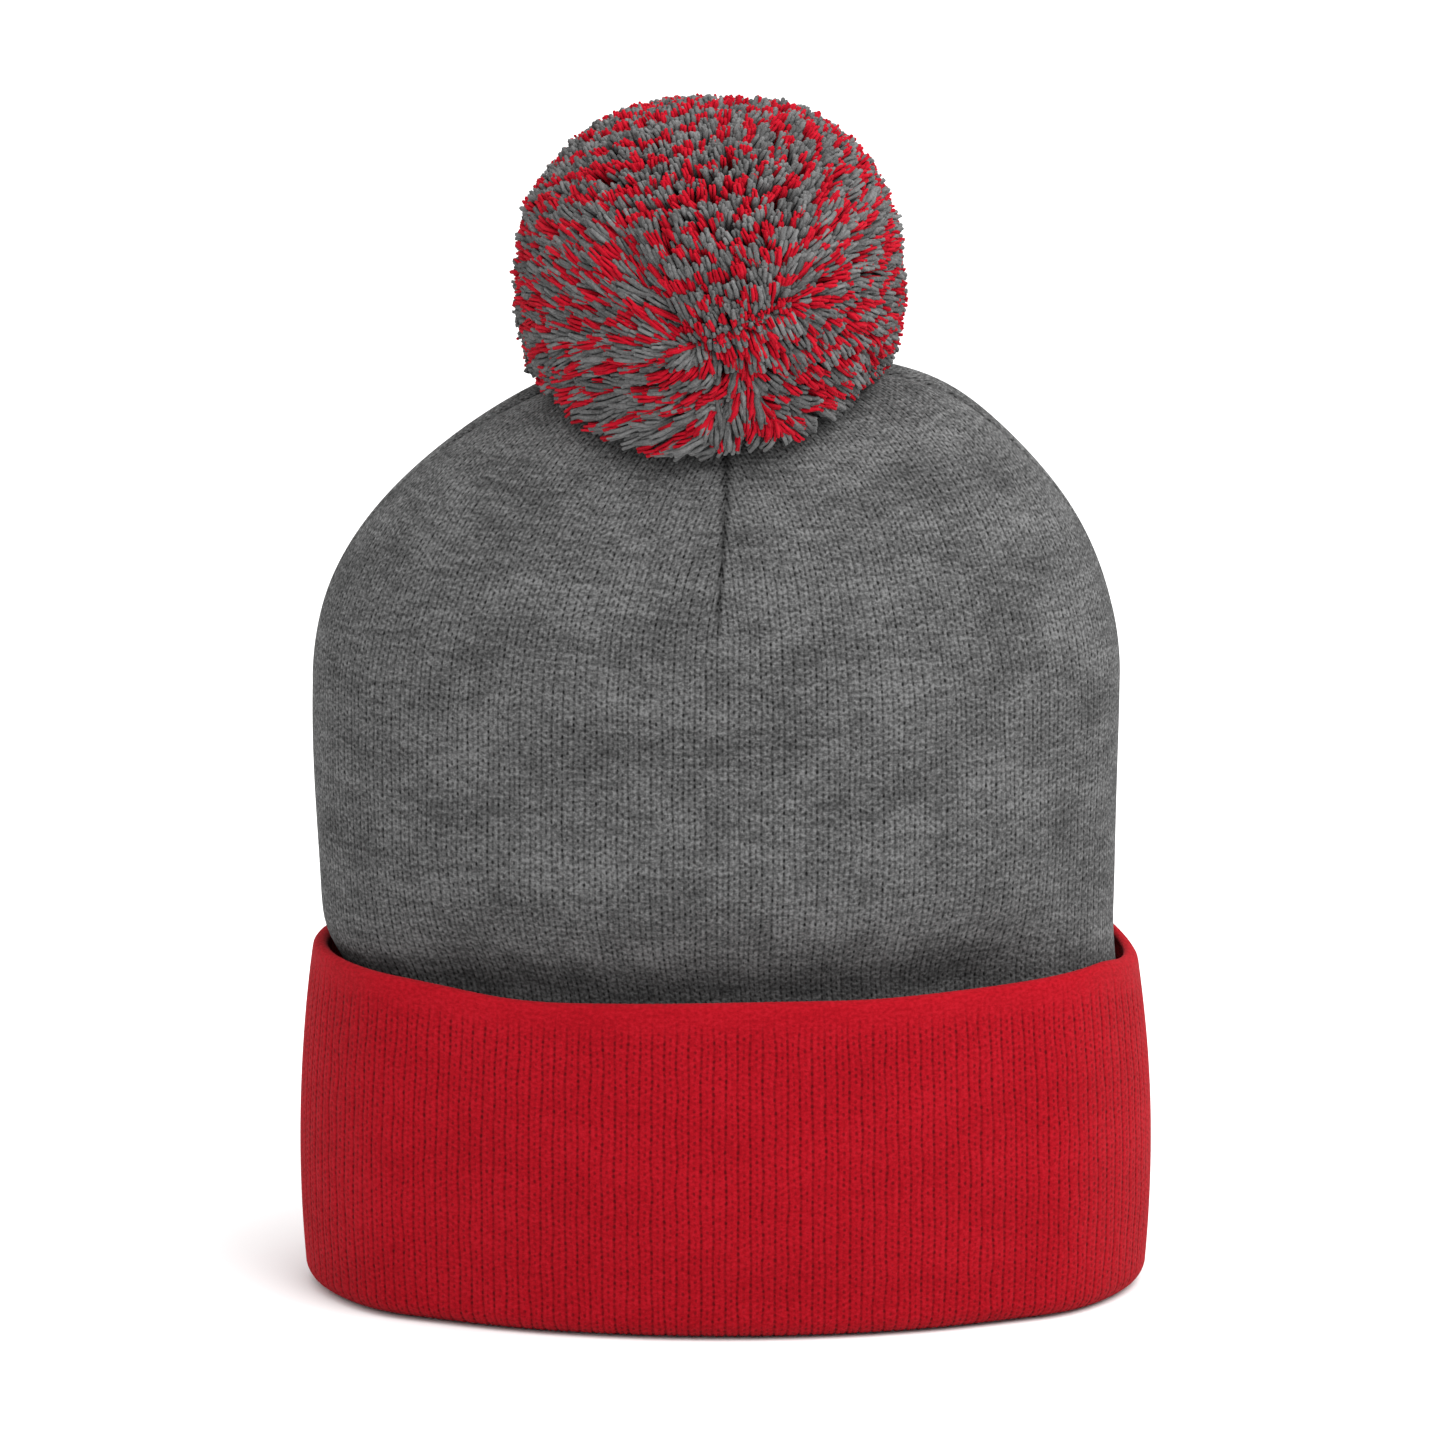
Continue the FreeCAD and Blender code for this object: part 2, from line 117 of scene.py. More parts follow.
def welded(points, faces, stitch):
    """Join points that lie in one place and drop the faces that close up to nothing."""
    keys = np.round(points / 1e-7).astype(np.int64)
    _, first, where = np.unique(keys, axis=0, return_index=True, return_inverse=True)
    where = where.ravel()
    kept_faces = []
    kept_stitch = []
    for face, corners in zip(faces, stitch):
        ring = []
        places = []
        for point, corner in zip(face, corners):
            number = int(where[point])
            if number not in ring:
                ring.append(number)
                places.append(corner)
        if len(ring) >= 3:
            kept_faces.append(tuple(ring))
            kept_stitch.extend(places)
    return points[first], kept_faces, kept_stitch, first


def waves(seed, count, low, high, far):
    """A smooth uneven field made of seeded sine waves, as a function of (around, up).

    around runs from 0 to 1 once round the hat, so the field closes on itself, and up is
    in metres. low and high bound the waves' number round the hat, and far is the longest
    wave upwards.
    """
    source = np.random.default_rng(seed)
    turns = source.integers(low, high, count)
    rises = source.uniform(-1.0, 1.0, count) * 4.0 / far
    phases = source.uniform(0.0, 2 * math.pi, count)
    sizes = source.uniform(0.5, 1.0, count)

    def field(around, up):
        total = 0.0
        for turn, rise, phase, size in zip(turns, rises, phases, sizes):
            total = total + size * np.sin(2 * math.pi * (turn * around + rise * up) + phase)
        return total / math.sqrt(count)

    return field


def wale_relief(wale, depth):
    """Height of the knit's face: a deep groove between wales and two legs in each."""
    place = wale - np.floor(wale)
    legs = np.abs(np.sin(2.0 * math.pi * place))
    centre = np.where(np.abs(place - 0.5) < 0.25, 0.45, 1.0)
    return -depth * (1.0 - legs) * centre


def ellipse_arc(half_width, half_height, end, count):
    """Angles from 0 to end, and how far along an ellipse they are from its wide end."""
    angles = np.linspace(0.0, end, count)
    steps = np.hypot(np.diff(half_width * np.cos(angles)), np.diff(half_height * np.sin(angles)))
    return angles, np.concatenate(([0.0], np.cumsum(steps)))


# ---- the crown's shape

WALL_LEVELS = np.array([4.0, 40.0, 76.0, 104.0, 134.5]) * MM
WALL_HALF_WIDTHS = np.array([84.4, 86.6, 87.5, 88.6, 89.2]) * MM
WALL_CURVE = np.polyfit(WALL_LEVELS / MM, WALL_HALF_WIDTHS / MM, 4)


def crown_level(distance, inset):
    """(half width, half depth, height, dome angle) at a distance up the front, from the wall's foot."""
    wall = DOME_FOOT - WALL_FOOT
    if distance <= wall:
        height = WALL_FOOT + distance
        half_width = np.polyval(WALL_CURVE, height / MM) * MM - inset
        return half_width, half_width - DEPTH_DIFFERENCE, height, 0.0
    angle = np.interp(distance - wall, DOME_ARC, DOME_ANGLES)
    half_width = (SHELL_HIGH[0] - inset) * math.cos(angle)
    half_depth = (SHELL_HIGH[1] - inset) * math.cos(angle)
    return half_width, half_depth, DOME_FOOT + (DOME_RISE - inset) * math.sin(angle), angle


def dome_distance(angle):
    """How far up the front, from the wall's foot, an angle of the dome is."""
    return DOME_FOOT - WALL_FOOT + float(np.interp(angle, DOME_ANGLES, DOME_ARC))


DOME_ANGLES, DOME_ARC = ellipse_arc((SHELL_HIGH[0] + SHELL_HIGH[1]) / 2, DOME_RISE, math.pi / 2, 400)
DART_DISTANCE = dome_distance(math.asin((DART_FOOT - DOME_FOOT) / DOME_RISE))
TOP_DISTANCE = dome_distance(math.radians(87.0))  # where the tie's hole begins
CROWN_WOBBLE = waves(11, 14, 6, 60, 60 * MM)
CROWN_WANDER = 0.22 * MM  # how far the wales wander to the sides
CROWN_COLUMNS = 4  # mesh columns in each wale
TUCK_LOW = 58 * MM  # between these levels the cloth bends most
TUCK_HIGH = 104 * MM
TUCK_EASE = 34 * MM  # how far down the tucks ease out again
END_TUCK = (68 * MM, 9.5 * MM, 5.4 * MM)  # level, width above it and depth
FRONT_TUCK = (73.5 * MM, 13 * MM, 9.2 * MM)
GATHER = 2.2 * MM  # depth of the creases at the top of the darts
SEWN_SHARE = 0.5  # of a dart's narrowing, taken up by its seam


def quarter_table(half_width, half_depth):
    return ellipse_arc(half_width, half_depth, math.pi / 2, 200)


def crown_angles(panel, offsets, angles, arc):
    """Ellipse angles of points at these distances from a panel's middle."""
    start = offsets + arc[-1] / 2
    if panel % 2 == 0:
        local = np.interp(start, arc, angles)
    else:
        local = math.pi / 2 - np.interp(arc[-1] - start, arc, angles)
    return local + panel * math.pi / 2


def crown_surface(distances, inset, relief, outer):
    """Points, faces and stitch places of one face of a crown layer.

    Each quarter between two darts is a panel whose wales stand straight up round its
    middle. Above the darts' lower ends the panel narrows: its wales crowd a little and
    the outer ones stop at the seam.
    """
    half_wales = CROWN_WALES / 8
    count = int(half_wales * CROWN_COLUMNS) * 2 + 1
    wales = np.linspace(-half_wales, half_wales, count)
    foot_width, foot_depth, _, _ = crown_level(DART_DISTANCE, inset)
    foot_spacing = quarter_table(foot_width, foot_depth)[1][-1] / 2 / half_wales
    rows = []
    for distance in distances:
        half_width, half_depth, height, angle = crown_level(distance, inset)
        angles, arc = quarter_table(half_width, half_depth)
        reach = arc[-1] / 2
        spacing = reach / half_wales
        if distance > DART_DISTANCE:
            spacing = SEWN_SHARE * foot_spacing + (1.0 - SEWN_SHARE) * spacing
        uneven = CROWN_WOBBLE(wales / CROWN_WALES, distance) * CROWN_WANDER
        uneven = uneven * smooth_step(0.0, 6 * MM, reach - np.abs(wales * spacing))
        offsets = np.clip(wales * spacing, -reach, reach) + uneven
        wide, deep, rise = half_width, half_depth, 0.0
        if angle > 0.0:
            wide, deep, rise = SHELL_HIGH[0], SHELL_HIGH[1], (height - DOME_FOOT) / DOME_RISE ** 2
        row = []
        for panel in range(4):
            t = crown_angles(panel, offsets, angles, arc)
            x = half_width * np.cos(t)
            y = half_depth * np.sin(t)
            z = np.full_like(x, height)
            normal = np.stack([x / wide ** 2, y / deep ** 2, 0 * x + rise], axis=1)
            normal /= np.linalg.norm(normal, axis=1)[:, None]
            place = np.clip(wales, -reach / spacing, reach / spacing)
            to_seam = reach - np.abs(offsets)
            row.append((np.stack([x, y, z], axis=1), normal, place, to_seam))
        rows.append(row)
    points, normals, place, to_seam = (
        np.array([[panel[part] for panel in row] for row in rows]) for part in range(4)
    )
    shift = shaped(points, normals, place, to_seam, relief, outer)
    up = np.clip((points[..., 2] - DART_FOOT) / (SHELL_HIGH[2] - DART_FOOT), 0.0, 1.0)
    above = smooth_step(DART_FOOT - 1.5 * MM, DART_FOOT + 1.0 * MM, points[..., 2])
    seam = above * hill(to_seam, (0.6 + 1.0 * up ** 2) * MM)
    return points + shift, place, seam


def tuck(z, level, width, depth):
    """A dent that is deepest at a level, ends above it and eases out slowly below it."""
    return depth * hill(z - level, np.where(z > level, width, TUCK_EASE))


def shaped(points, normals, place, to_seam, relief, outer):
    """How far each point of the crown moves from the plain form; outer is for the outer layer."""
    x, y, z = points[..., 0], points[..., 1], points[..., 2]
    out = wale_relief(place, relief)
    # Each dart is a seam, drawn in deeper where the crown gathers under the ball.
    up = np.clip((z - DART_FOOT + 2 * MM) / (SHELL_HIGH[2] - DART_FOOT), 0.0, 1.0)
    seam_width = (0.5 + 0.9 * up ** 2) * MM
    seam_depth = (0.35 + 1.5 * up ** 3) * MM * smooth_step(0.0, 0.06, up)
    out -= seam_depth * hill(to_seam, seam_width) + GATHER * up ** 3 * hill(to_seam, 5 * MM)
    # The cloth tucks in where it goes down behind the cuff, except on the fuller side.
    front = (1.0 - smooth_step(55 * MM, 84 * MM, np.abs(x))) * smooth_step(0.0, 20 * MM, -y)
    out -= tuck(z, *END_TUCK) * smooth_step(60 * MM, 86 * MM, -x) + tuck(z, *FRONT_TUCK) * front
    if not outer:
        return normals * out[..., None]
    # The cloth is full on one shoulder, where the side dart makes a corner.
    right = 3.0 * MM * hill(x - 47 * MM, 17 * MM)
    left = 1.2 * MM * hill(x + 52 * MM, 20 * MM)
    out += (right - left) * hill(y, 26 * MM) * smooth_step(155 * MM, 200 * MM, z)
    # Slow swells of cloth with little inside it.
    above = smooth_step(70 * MM, 95 * MM, z)
    swell = (
        np.sin(x / (17 * MM) + 1.3 * np.sin(z / (31 * MM)) + 0.7)
        * np.sin(z / (21 * MM) + 0.8 * np.sin(x / (40 * MM) + y / (23 * MM)) + 2.1)
    )
    out += (0.5 * swell + 2.0 * front * hill(z - 103 * MM, 14 * MM)) * MM * above
    shift = normals * out[..., None]
    leaning = smooth_step(60 * MM, 85 * MM, z) * (1.0 - smooth_step(150 * MM, 190 * MM, z))
    shift[..., 0] += CROWN_LEAN * leaning
    dimple = hill(np.hypot(x, y), 16 * MM)
    shift[..., 2] += CROWN_FULLNESS * smooth_step(76 * MM, 130 * MM, z) * (1.0 - dimple)
    return shift


def crown_layer(name, inset, seen_rows, hidden_rows, outer_seen):
    """A closed knitted layer with its two faces, one fine and one coarse."""
    seen_inset, hidden_inset = (inset, inset + LAYER) if outer_seen else (inset + LAYER, inset)
    sides = (
        (seen_rows, crown_surface(seen_rows, seen_inset, RELIEF, outer_seen)),
        (hidden_rows, crown_surface(hidden_rows, hidden_inset, 0.0, outer_seen)),
    )
    points, seams, grids, faces, stitch = [], [], [], [], []
    base = 0
    for side, (rows, (grid, place, seam)) in enumerate(sides):
        numbers = base + np.arange(place.size).reshape(place.shape)
        base += place.size
        points.append(grid.reshape(-1, 3))
        seams.append(seam.ravel())
        wales = place + (np.arange(4)[:, None] + 0.5) * CROWN_WALES / 4
        courses = 0.0 * place + rows[:, None, None] / COURSE
        places = np.stack([wales, courses], axis=-1)
        grids.append((numbers, places))
        turned = (side == 1) == outer_seen
        for panel in range(4):
            faces.append(quads(numbers[:, panel], turned))
            stitch.append(quads(places[:, panel], turned))
    (first, places), (second, _) = grids
    for end in (0, -1):
        turned = (end == -1) == outer_seen
        for panel in range(4):
            faces.append(quads(np.stack([first[end, panel], second[end, panel]], axis=1), turned))
            stitch.append(quads(np.stack([places[end, panel]] * 2, axis=1), turned))
    faces = np.concatenate(faces).tolist()
    stitch = np.concatenate(stitch).tolist()
    points, faces, stitch, first = welded(np.concatenate(points), faces, stitch)
    return new_mesh(name, points, faces, stitch, {"seam": np.concatenate(seams)[first]})


def row_distances(*spans):
    """How far up each row is: spans of (lowest height, number of rows), ending at the top."""
    starts = [height - WALL_FOOT for height, _ in spans] + [TOP_DISTANCE]
    parts = [
        np.linspace(starts[i], starts[i + 1], count, endpoint=i == len(spans) - 1)
        for i, (_, count) in enumerate(spans)
    ]
    return np.concatenate(parts)


# ---- the cuff's shape

HEM_INSIDE = CUFF_HIGH[0] - 6.1 * MM  # half width inside the hem
CUFF_WOBBLE = waves(5, 16, 8, 70, 50 * MM)
CUFF_WANDER = 0.2 * MM  # how far its wales wander to the sides
CLOSED_REACH = 200 * MM  # the courses' place where an outline closes
CUFF_DEPTHS = waves(6, 16, 10, 80, 40 * MM)


def cuff_ring(name, outline, columns_per_wale):
    """A ring of cloth: an outline with rows of (outwards, height, reach, relief), carried round.

    outwards is measured from the inside of the hem, and reach is the distance along the
    cloth, which counts the courses.
    """
    half_width = HEM_INSIDE
    half_depth = HEM_INSIDE - DEPTH_DIFFERENCE
    angles, arc = ellipse_arc(half_width, half_depth, 2 * math.pi, 2401)
    count = CUFF_WALES * columns_per_wale
    around = np.arange(count) / count
    wales = np.arange(count) / columns_per_wale
    rows = len(outline)
    following = np.roll(outline[:, :2], -1, axis=0) - np.roll(outline[:, :2], 1, axis=0)
    following /= np.linalg.norm(following, axis=1)[:, None]
    face_out = np.stack([-following[:, 1], following[:, 0]], axis=1)
    points = np.zeros((rows, count, 3))
    for row, (out, height, reach, depth) in enumerate(outline):
        uneven = CUFF_WOBBLE(around, reach) * CUFF_WANDER
        t = np.interp((around * arc[-1] + uneven) % arc[-1], arc, angles)
        path = np.stack([half_width * np.cos(t), half_depth * np.sin(t)], axis=1)
        normal = np.stack([half_depth * np.cos(t), half_width * np.sin(t)], axis=1)
        normal /= np.linalg.norm(normal, axis=1)[:, None]
        relief = wale_relief(wales, depth) * (1.0 + 0.3 * CUFF_DEPTHS(around, reach))
        side = out + relief * face_out[row, 0]
        points[row, :, :2] = path + normal * side[:, None]
        points[row, :, 2] = height + relief * face_out[row, 1]
    numbers = np.arange(rows * count).reshape(rows, count)
    numbers = np.pad(numbers, ((0, 1), (0, 1)), mode="wrap")
    edges = np.arange(count + 1) / columns_per_wale
    courses = np.append(outline[:, 2], CLOSED_REACH) / COURSE
    stitch = np.stack(np.meshgrid(edges, courses, indexing="ij"), axis=-1)
    return new_mesh(name, cuff_sag(points).reshape(-1, 3), quads(numbers.T).tolist(), quads(stitch))


def cuff_sag(points):
    """The cuff's own unevenness: its hem waves a little and stands higher at one end."""
    x, y, z = points[..., 0], points[..., 1], points[..., 2]
    high = smooth_step(30 * MM, CUFF_TOP, z)
    lift = (
        1.7 * smooth_step(35 * MM, 94 * MM, -x)
        + 1.5 * smooth_step(45 * MM, 80 * MM, x)
        - 4.2 * smooth_step(82 * MM, 94 * MM, x)
        + 0.35 * np.sin(x / (13 * MM) + 0.6)
        - 1.0 * hill(x + 48 * MM, 18 * MM)
        + 0.9 * hill(x - 50 * MM, 14 * MM)
    )
    moved = points.copy()
    moved[..., 2] += lift * MM * high
    swell = 0.3 * MM * np.sin(x / (19 * MM) + z / (30 * MM)) * np.sin(z / (17 * MM) + 1.0)
    swell = swell * smooth_step(0.0, 30 * MM, np.abs(y)) * smooth_step(8 * MM, 20 * MM, z)
    corner = 2.5 * MM * hill(np.abs(x) - 78 * MM, 11 * MM) * smooth_step(0.0, 12 * MM, np.abs(y))
    moved[..., 1] += (corner + swell) * np.sign(y)
    return moved


def arc_points(centre, radius, start, end, count):
    """(outwards, height) points on an arc, angles in degrees from outwards."""
    angles = np.radians(np.linspace(start, end, count))
    return [(centre[0] + radius * math.cos(a), centre[1] + radius * math.sin(a)) for a in angles]


def with_reach(points, depths):
    """Add to each (outwards, height) its distance along the outline and its relief."""
    points = np.array(points)
    steps = np.hypot(*np.diff(points, axis=0).T)
    return np.column_stack((points, np.concatenate(([0.0], np.cumsum(steps))), depths))


FACE = 1.5 * MM  # one layer of the cuff
ROLL = 5.0 * MM  # fold at the cuff's bottom
RIM_OUT = 3.5 * MM  # the hem's outside, from its inside
FOOT_OUT = 5.2 * MM  # the wall just above the fold
BELLY_OUT = 6.3 * MM  # the bulge half way up
HEM = RIM_OUT / 2
LIP_IN = -9.3 * MM  # where the fold goes up inside the hat
ROLL_CENTRE = (FOOT_OUT - ROLL, ROLL)


def cuff_wall(inset, top, wall_count, fold_count):
    """Points down the bulging wall of the cuff and round its fold, inset from its face."""
    levels = [top, (top + ROLL) / 2, ROLL]
    curve = np.polyfit(levels, [RIM_OUT - inset, BELLY_OUT - inset, FOOT_OUT - inset], 2)
    heights = np.linspace(top, ROLL, wall_count)
    wall = list(zip(np.polyval(curve, heights), heights))
    return wall + arc_points(ROLL_CENTRE, ROLL - inset, 0, -90, fold_count)[1:]


def face_outline():
    """From the hem's inside over its top, down the wall, round the fold and up inside, and back."""
    top = CUFF_TOP - HEM
    lip_centre = (LIP_IN + 2 * FACE, 2 * FACE)
    seen = arc_points((HEM, top), HEM, 180, 0, 8)
    seen += cuff_wall(0.0, top, 44, 11)[1:]
    seen.append(((ROLL_CENTRE[0] + lip_centre[0]) / 2, 0.0))
    seen += arc_points(lip_centre, 2 * FACE, -90, -180, 5)
    seen.append((LIP_IN, 6.5 * MM))
    inner = [(LIP_IN + FACE / 2, 7.2 * MM), (LIP_IN + FACE, 6.5 * MM), (LIP_IN + FACE, 3 * MM)]
    inner += arc_points(lip_centre, FACE, -180, -90, 3)[1:]
    inner += reversed(cuff_wall(FACE, top, 9, 7))
    inner.append((HEM, top - 0.4 * MM))
    fade = smooth_step(1 * MM, 9 * MM, CUFF_TOP - np.array(seen)[:, 1])
    depths = np.append(RELIEF * (0.15 + 0.85 * fade), [0.0] * len(inner))
    return with_reach(seen + inner, depths)


def back_outline():
    """The cuff's hidden layer, just inside the face layer."""
    inset = FACE + 0.25 * MM
    top = CUFF_TOP - HEM - 0.6 * MM
    lip = LIP_IN + FACE + 0.6 * MM
    outer = cuff_wall(inset, top, 12, 6)
    outer.append((lip, inset))
    inset += FACE
    inner = [(lip, inset)]
    inner += reversed(cuff_wall(inset, top, 12, 6))
    depths = [0.0] * len(outer) + [RELIEF * 0.6] * len(inner)
    return with_reach(outer + inner, depths)


# ---- materials

def material(name, colour, roughness):
    """A new Principled material with its node tree, ready for more nodes."""
    made = bpy.data.materials.new(name)
    made.use_nodes = True
    shader = made.node_tree.nodes["Principled BSDF"]
    shader.inputs["Base Color"].default_value = (*colour, 1.0)
    shader.inputs["Roughness"].default_value = roughness
    return made, made.node_tree, shader


def node(tree, kind, settings=None, **inputs):
    """Add a node; settings are its properties and inputs its sockets, as values or links."""
    made = tree.nodes.new(kind)
    for key, value in (settings or {}).items():
        setattr(made, key, value)
    for key, value in inputs.items():
        socket = made.inputs[int(key[1:])] if key[0] == "_" else made.inputs[key.replace("_", " ")]
        if isinstance(value, bpy.types.NodeSocket):
            tree.links.new(value, socket)
        else:
            socket.default_value = value
    return made


def maths(tree, operation, first, second=0.0, third=0.0):
    settings = {"operation": operation}
    return node(tree, "ShaderNodeMath", settings, _0=first, _1=second, _2=third).outputs[0]


def ranged(tree, value, low, high, at_low, at_high, kind="SMOOTHSTEP"):
    """at_low where the value is low, at_high where it is high, and a change between them."""
    ends = {"_1": low, "_2": high, "_3": at_low, "_4": at_high}
    return node(tree, "ShaderNodeMapRange", {"interpolation_type": kind}, _0=value, **ends).outputs[0]


def paint(tree, shader, colour, shade):
    """Give the shader a colour, darkened by a factor from 0, black, to 1, which carries the painted
    shade of the knit and yarn.
    """
    level = node(tree, "ShaderNodeCombineColor", _0=shade, _1=shade, _2=shade).outputs[0]
    settings = {"data_type": "RGBA", "blend_type": "MULTIPLY"}
    mixed = node(tree, "ShaderNodeMix", settings, _0=1.0, _6=colour, _7=level).outputs[2]
    tree.links.new(mixed, shader.inputs["Base Color"])


def raise_surface(tree, shader, height, strength, distance):
    bump = node(tree, "ShaderNodeBump", Strength=strength, Distance=distance, Height=height)
    tree.links.new(bump.outputs["Normal"], shader.inputs["Normal"])


def soften(shader, gloss):
    """The faint sheen of short fibres, and almost no gloss."""
    shader.inputs["Sheen Weight"].default_value = 0.02
    shader.inputs["Sheen Roughness"].default_value = 0.6
    shader.inputs["Specular IOR Level"].default_value = gloss


def flat_noise(tree, place, scale, detail):
    """Noise over the stitch map, with its own scale across wales and along them."""
    scaled = node(tree, "ShaderNodeMapping", Vector=place, Scale=(*scale, 1.0)).outputs[0]
    return node(
        tree, "ShaderNodeTexNoise", {"noise_dimensions": "2D"},
        Vector=scaled, Scale=1.0, Detail=detail, Roughness=0.6,
    ).outputs["Fac"]


def colour_steps(tree, factor, steps):
    """A colour ramp from (position, colour) pairs."""
    ramp = node(tree, "ShaderNodeValToRGB", Fac=factor)
    elements = ramp.color_ramp.elements
    while len(elements) < len(steps):
        elements.new(0.5)
    for element, (position, colour) in zip(elements, steps):
        element.position = position
        element.color = (*colour, 1.0)
    return ramp.outputs["Color"]


def knit_material(name, dark, middle, light, streak, hole, groove, deepest, plain_courses=0.0):
    """Jersey knit: columns of V stitches, painted shade in the pinholes between them and along the
    wales' edges, and mottled yarn.

    streak is how much of the mottling lies along the courses. hole and groove are how dark
    the painted shade in the pinholes and at the wales' edges is, and deepest is the least share
    of light left in them. The first plain_courses are felted smooth.
    """
    made, tree, shader = material(name, middle, 0.92)
    place = node(tree, "ShaderNodeUVMap", {"uv_map": "stitch"}).outputs["UV"]
    axes = node(tree, "ShaderNodeSeparateXYZ", Vector=place)
    wale, course = axes.outputs["X"], axes.outputs["Y"]

    # Pinholes stand in columns at the wales' edges and middles, half a course apart.
    half_wales = maths(tree, "MULTIPLY_ADD", wale, 2.0, 0.5)
    across = maths(tree, "SUBTRACT", maths(tree, "FRACT", half_wales), 0.5)
    middle_column = maths(tree, "MODULO", maths(tree, "FLOOR", half_wales), 2.0)
    stagger = maths(tree, "MULTIPLY_ADD", middle_column, 0.5, course)
    along = maths(tree, "SUBTRACT", maths(tree, "FRACT", stagger), 0.5)
    reach_x = maths(tree, "DIVIDE", across, 0.36)
    reach_y = maths(tree, "DIVIDE", along, 0.50)
    squares = maths(tree, "MULTIPLY_ADD", reach_x, reach_x, maths(tree, "MULTIPLY", reach_y, reach_y))
    pit = ranged(tree, maths(tree, "SQRT", squares), 0.25, 1.0, 1.0, 0.0)
    line = ranged(tree, maths(tree, "ABSOLUTE", across), 0.05, 0.34, 1.0, 0.0)
    edge_line = maths(tree, "MULTIPLY", line, maths(tree, "SUBTRACT", 1.0, middle_column))

    # The stitches are uneven, so the holes open and close.
    loose = flat_noise(tree, place, (1.9, 0.95), 1.0)
    looseness = ranged(tree, loose, 0.3, 0.7, 0.15, 1.25, "LINEAR")
    open_pit = maths(tree, "MULTIPLY", pit, looseness)
    felted = ranged(tree, course, plain_courses * 0.5 - 0.01, plain_courses, 0.12, 1.0)

    # Fibres: fine flecks, and streaks drawn out along the courses.
    fibres = flat_noise(tree, place, (2.6, 2.0), 2.0)
    streaks = flat_noise(tree, place, (0.3, 1.1), 4.0)
    clouds = flat_noise(tree, place, (0.10, 0.12), 2.0)
    mottle = maths(tree, "MULTIPLY", streaks, streak)
    mottle = maths(tree, "MULTIPLY_ADD", fibres, 0.85 - streak, mottle)
    mottle = maths(tree, "MULTIPLY_ADD", clouds, 0.22, mottle)
    yarn = colour_steps(tree, mottle, [(0.395, dark), (0.535, middle), (0.675, light)])

    # Painted shade: the pinholes and the grooves at the wales' edges are darkened in the colour, and
    # the seams' dark line adds to it.
    painted_shade_and_seam = maths(tree, "MULTIPLY_ADD", open_pit, hole, maths(tree, "MULTIPLY", edge_line, groove))
    painted_shade_and_seam = maths(tree, "MULTIPLY", painted_shade_and_seam, felted)
    seam = node(tree, "ShaderNodeAttribute", {"attribute_name": "seam"}).outputs["Fac"]
    painted_shade_and_seam = maths(tree, "MULTIPLY_ADD", seam, 0.6, painted_shade_and_seam)
    shade = maths(tree, "MAXIMUM", maths(tree, "SUBTRACT", 1.0, painted_shade_and_seam), deepest)
    paint(tree, shader, yarn, shade)
    surface = maths(tree, "SUBTRACT", maths(tree, "MULTIPLY", fibres, 0.5), painted_shade_and_seam)
    raise_surface(tree, shader, surface, 0.5, 0.5 * MM)
    soften(shader, 0.05)
    return made


def yarn_material(name, dark, middle, light):
    """Loose acrylic yarn: fibres along each strand, a tone that differs from strand to strand, and
    painted shade darkening each strand towards its root.
    """
    made, tree, shader = material(name, middle, 0.95)
    place = node(tree, "ShaderNodeTexCoord").outputs["Object"]
    fine = node(
        tree, "ShaderNodeTexNoise", Vector=place, Scale=1900.0, Detail=2.0, Roughness=0.7
    ).outputs["Fac"]
    broad = node(tree, "ShaderNodeTexNoise", Vector=place, Scale=160.0, Detail=2.0).outputs["Fac"]
    strand = node(tree, "ShaderNodeAttribute", {"attribute_name": "shade"}).outputs["Fac"]
    along = node(tree, "ShaderNodeAttribute", {"attribute_name": "along"}).outputs["Fac"]
    mottle = maths(tree, "MULTIPLY", fine, 0.55)
    mottle = maths(tree, "MULTIPLY_ADD", broad, 0.25, mottle)
    mottle = maths(tree, "MULTIPLY_ADD", strand, 0.2, mottle)
    yarn = colour_steps(tree, mottle, [(0.34, dark), (0.5, middle), (0.66, light)])
    # Painted shade: each strand's colour darkens towards its root, where the strands crowd.
    paint(tree, shader, yarn, ranged(tree, along, 0.1, 0.75, 0.8, 1.0))
    raise_surface(tree, shader, fine, 0.4, 0.4 * MM)
    soften(shader, 0.02)
    return made


def twisted_material(name, dark, light, ply):
    """Thread or cord: plies lying aslant, ply apart in metres, with a fibrous surface."""
    made, tree, shader = material(name, light, 0.8)
    place = node(tree, "ShaderNodeTexCoord").outputs["Object"]
    plies = node(
        tree, "ShaderNodeTexWave", {"bands_direction": "DIAGONAL"},
        Vector=place, Scale=2 * math.pi / (10 * math.sqrt(3) * ply), Distortion=1.5, Detail=2.0,
    ).outputs["Fac"]
    fibres = node(tree, "ShaderNodeTexNoise", Vector=place, Scale=3.0 / ply, Detail=2.0).outputs["Fac"]
    mottle = maths(tree, "MULTIPLY_ADD", fibres, 0.5, maths(tree, "MULTIPLY", plies, 0.5))
    colour = colour_steps(tree, mottle, [(0.25, dark), (0.7, light)])
    tree.links.new(colour, shader.inputs["Base Color"])
    raise_surface(tree, shader, mottle, 0.8, ply / 4)
    shader.inputs["Specular IOR Level"].default_value = 0.2
    return made


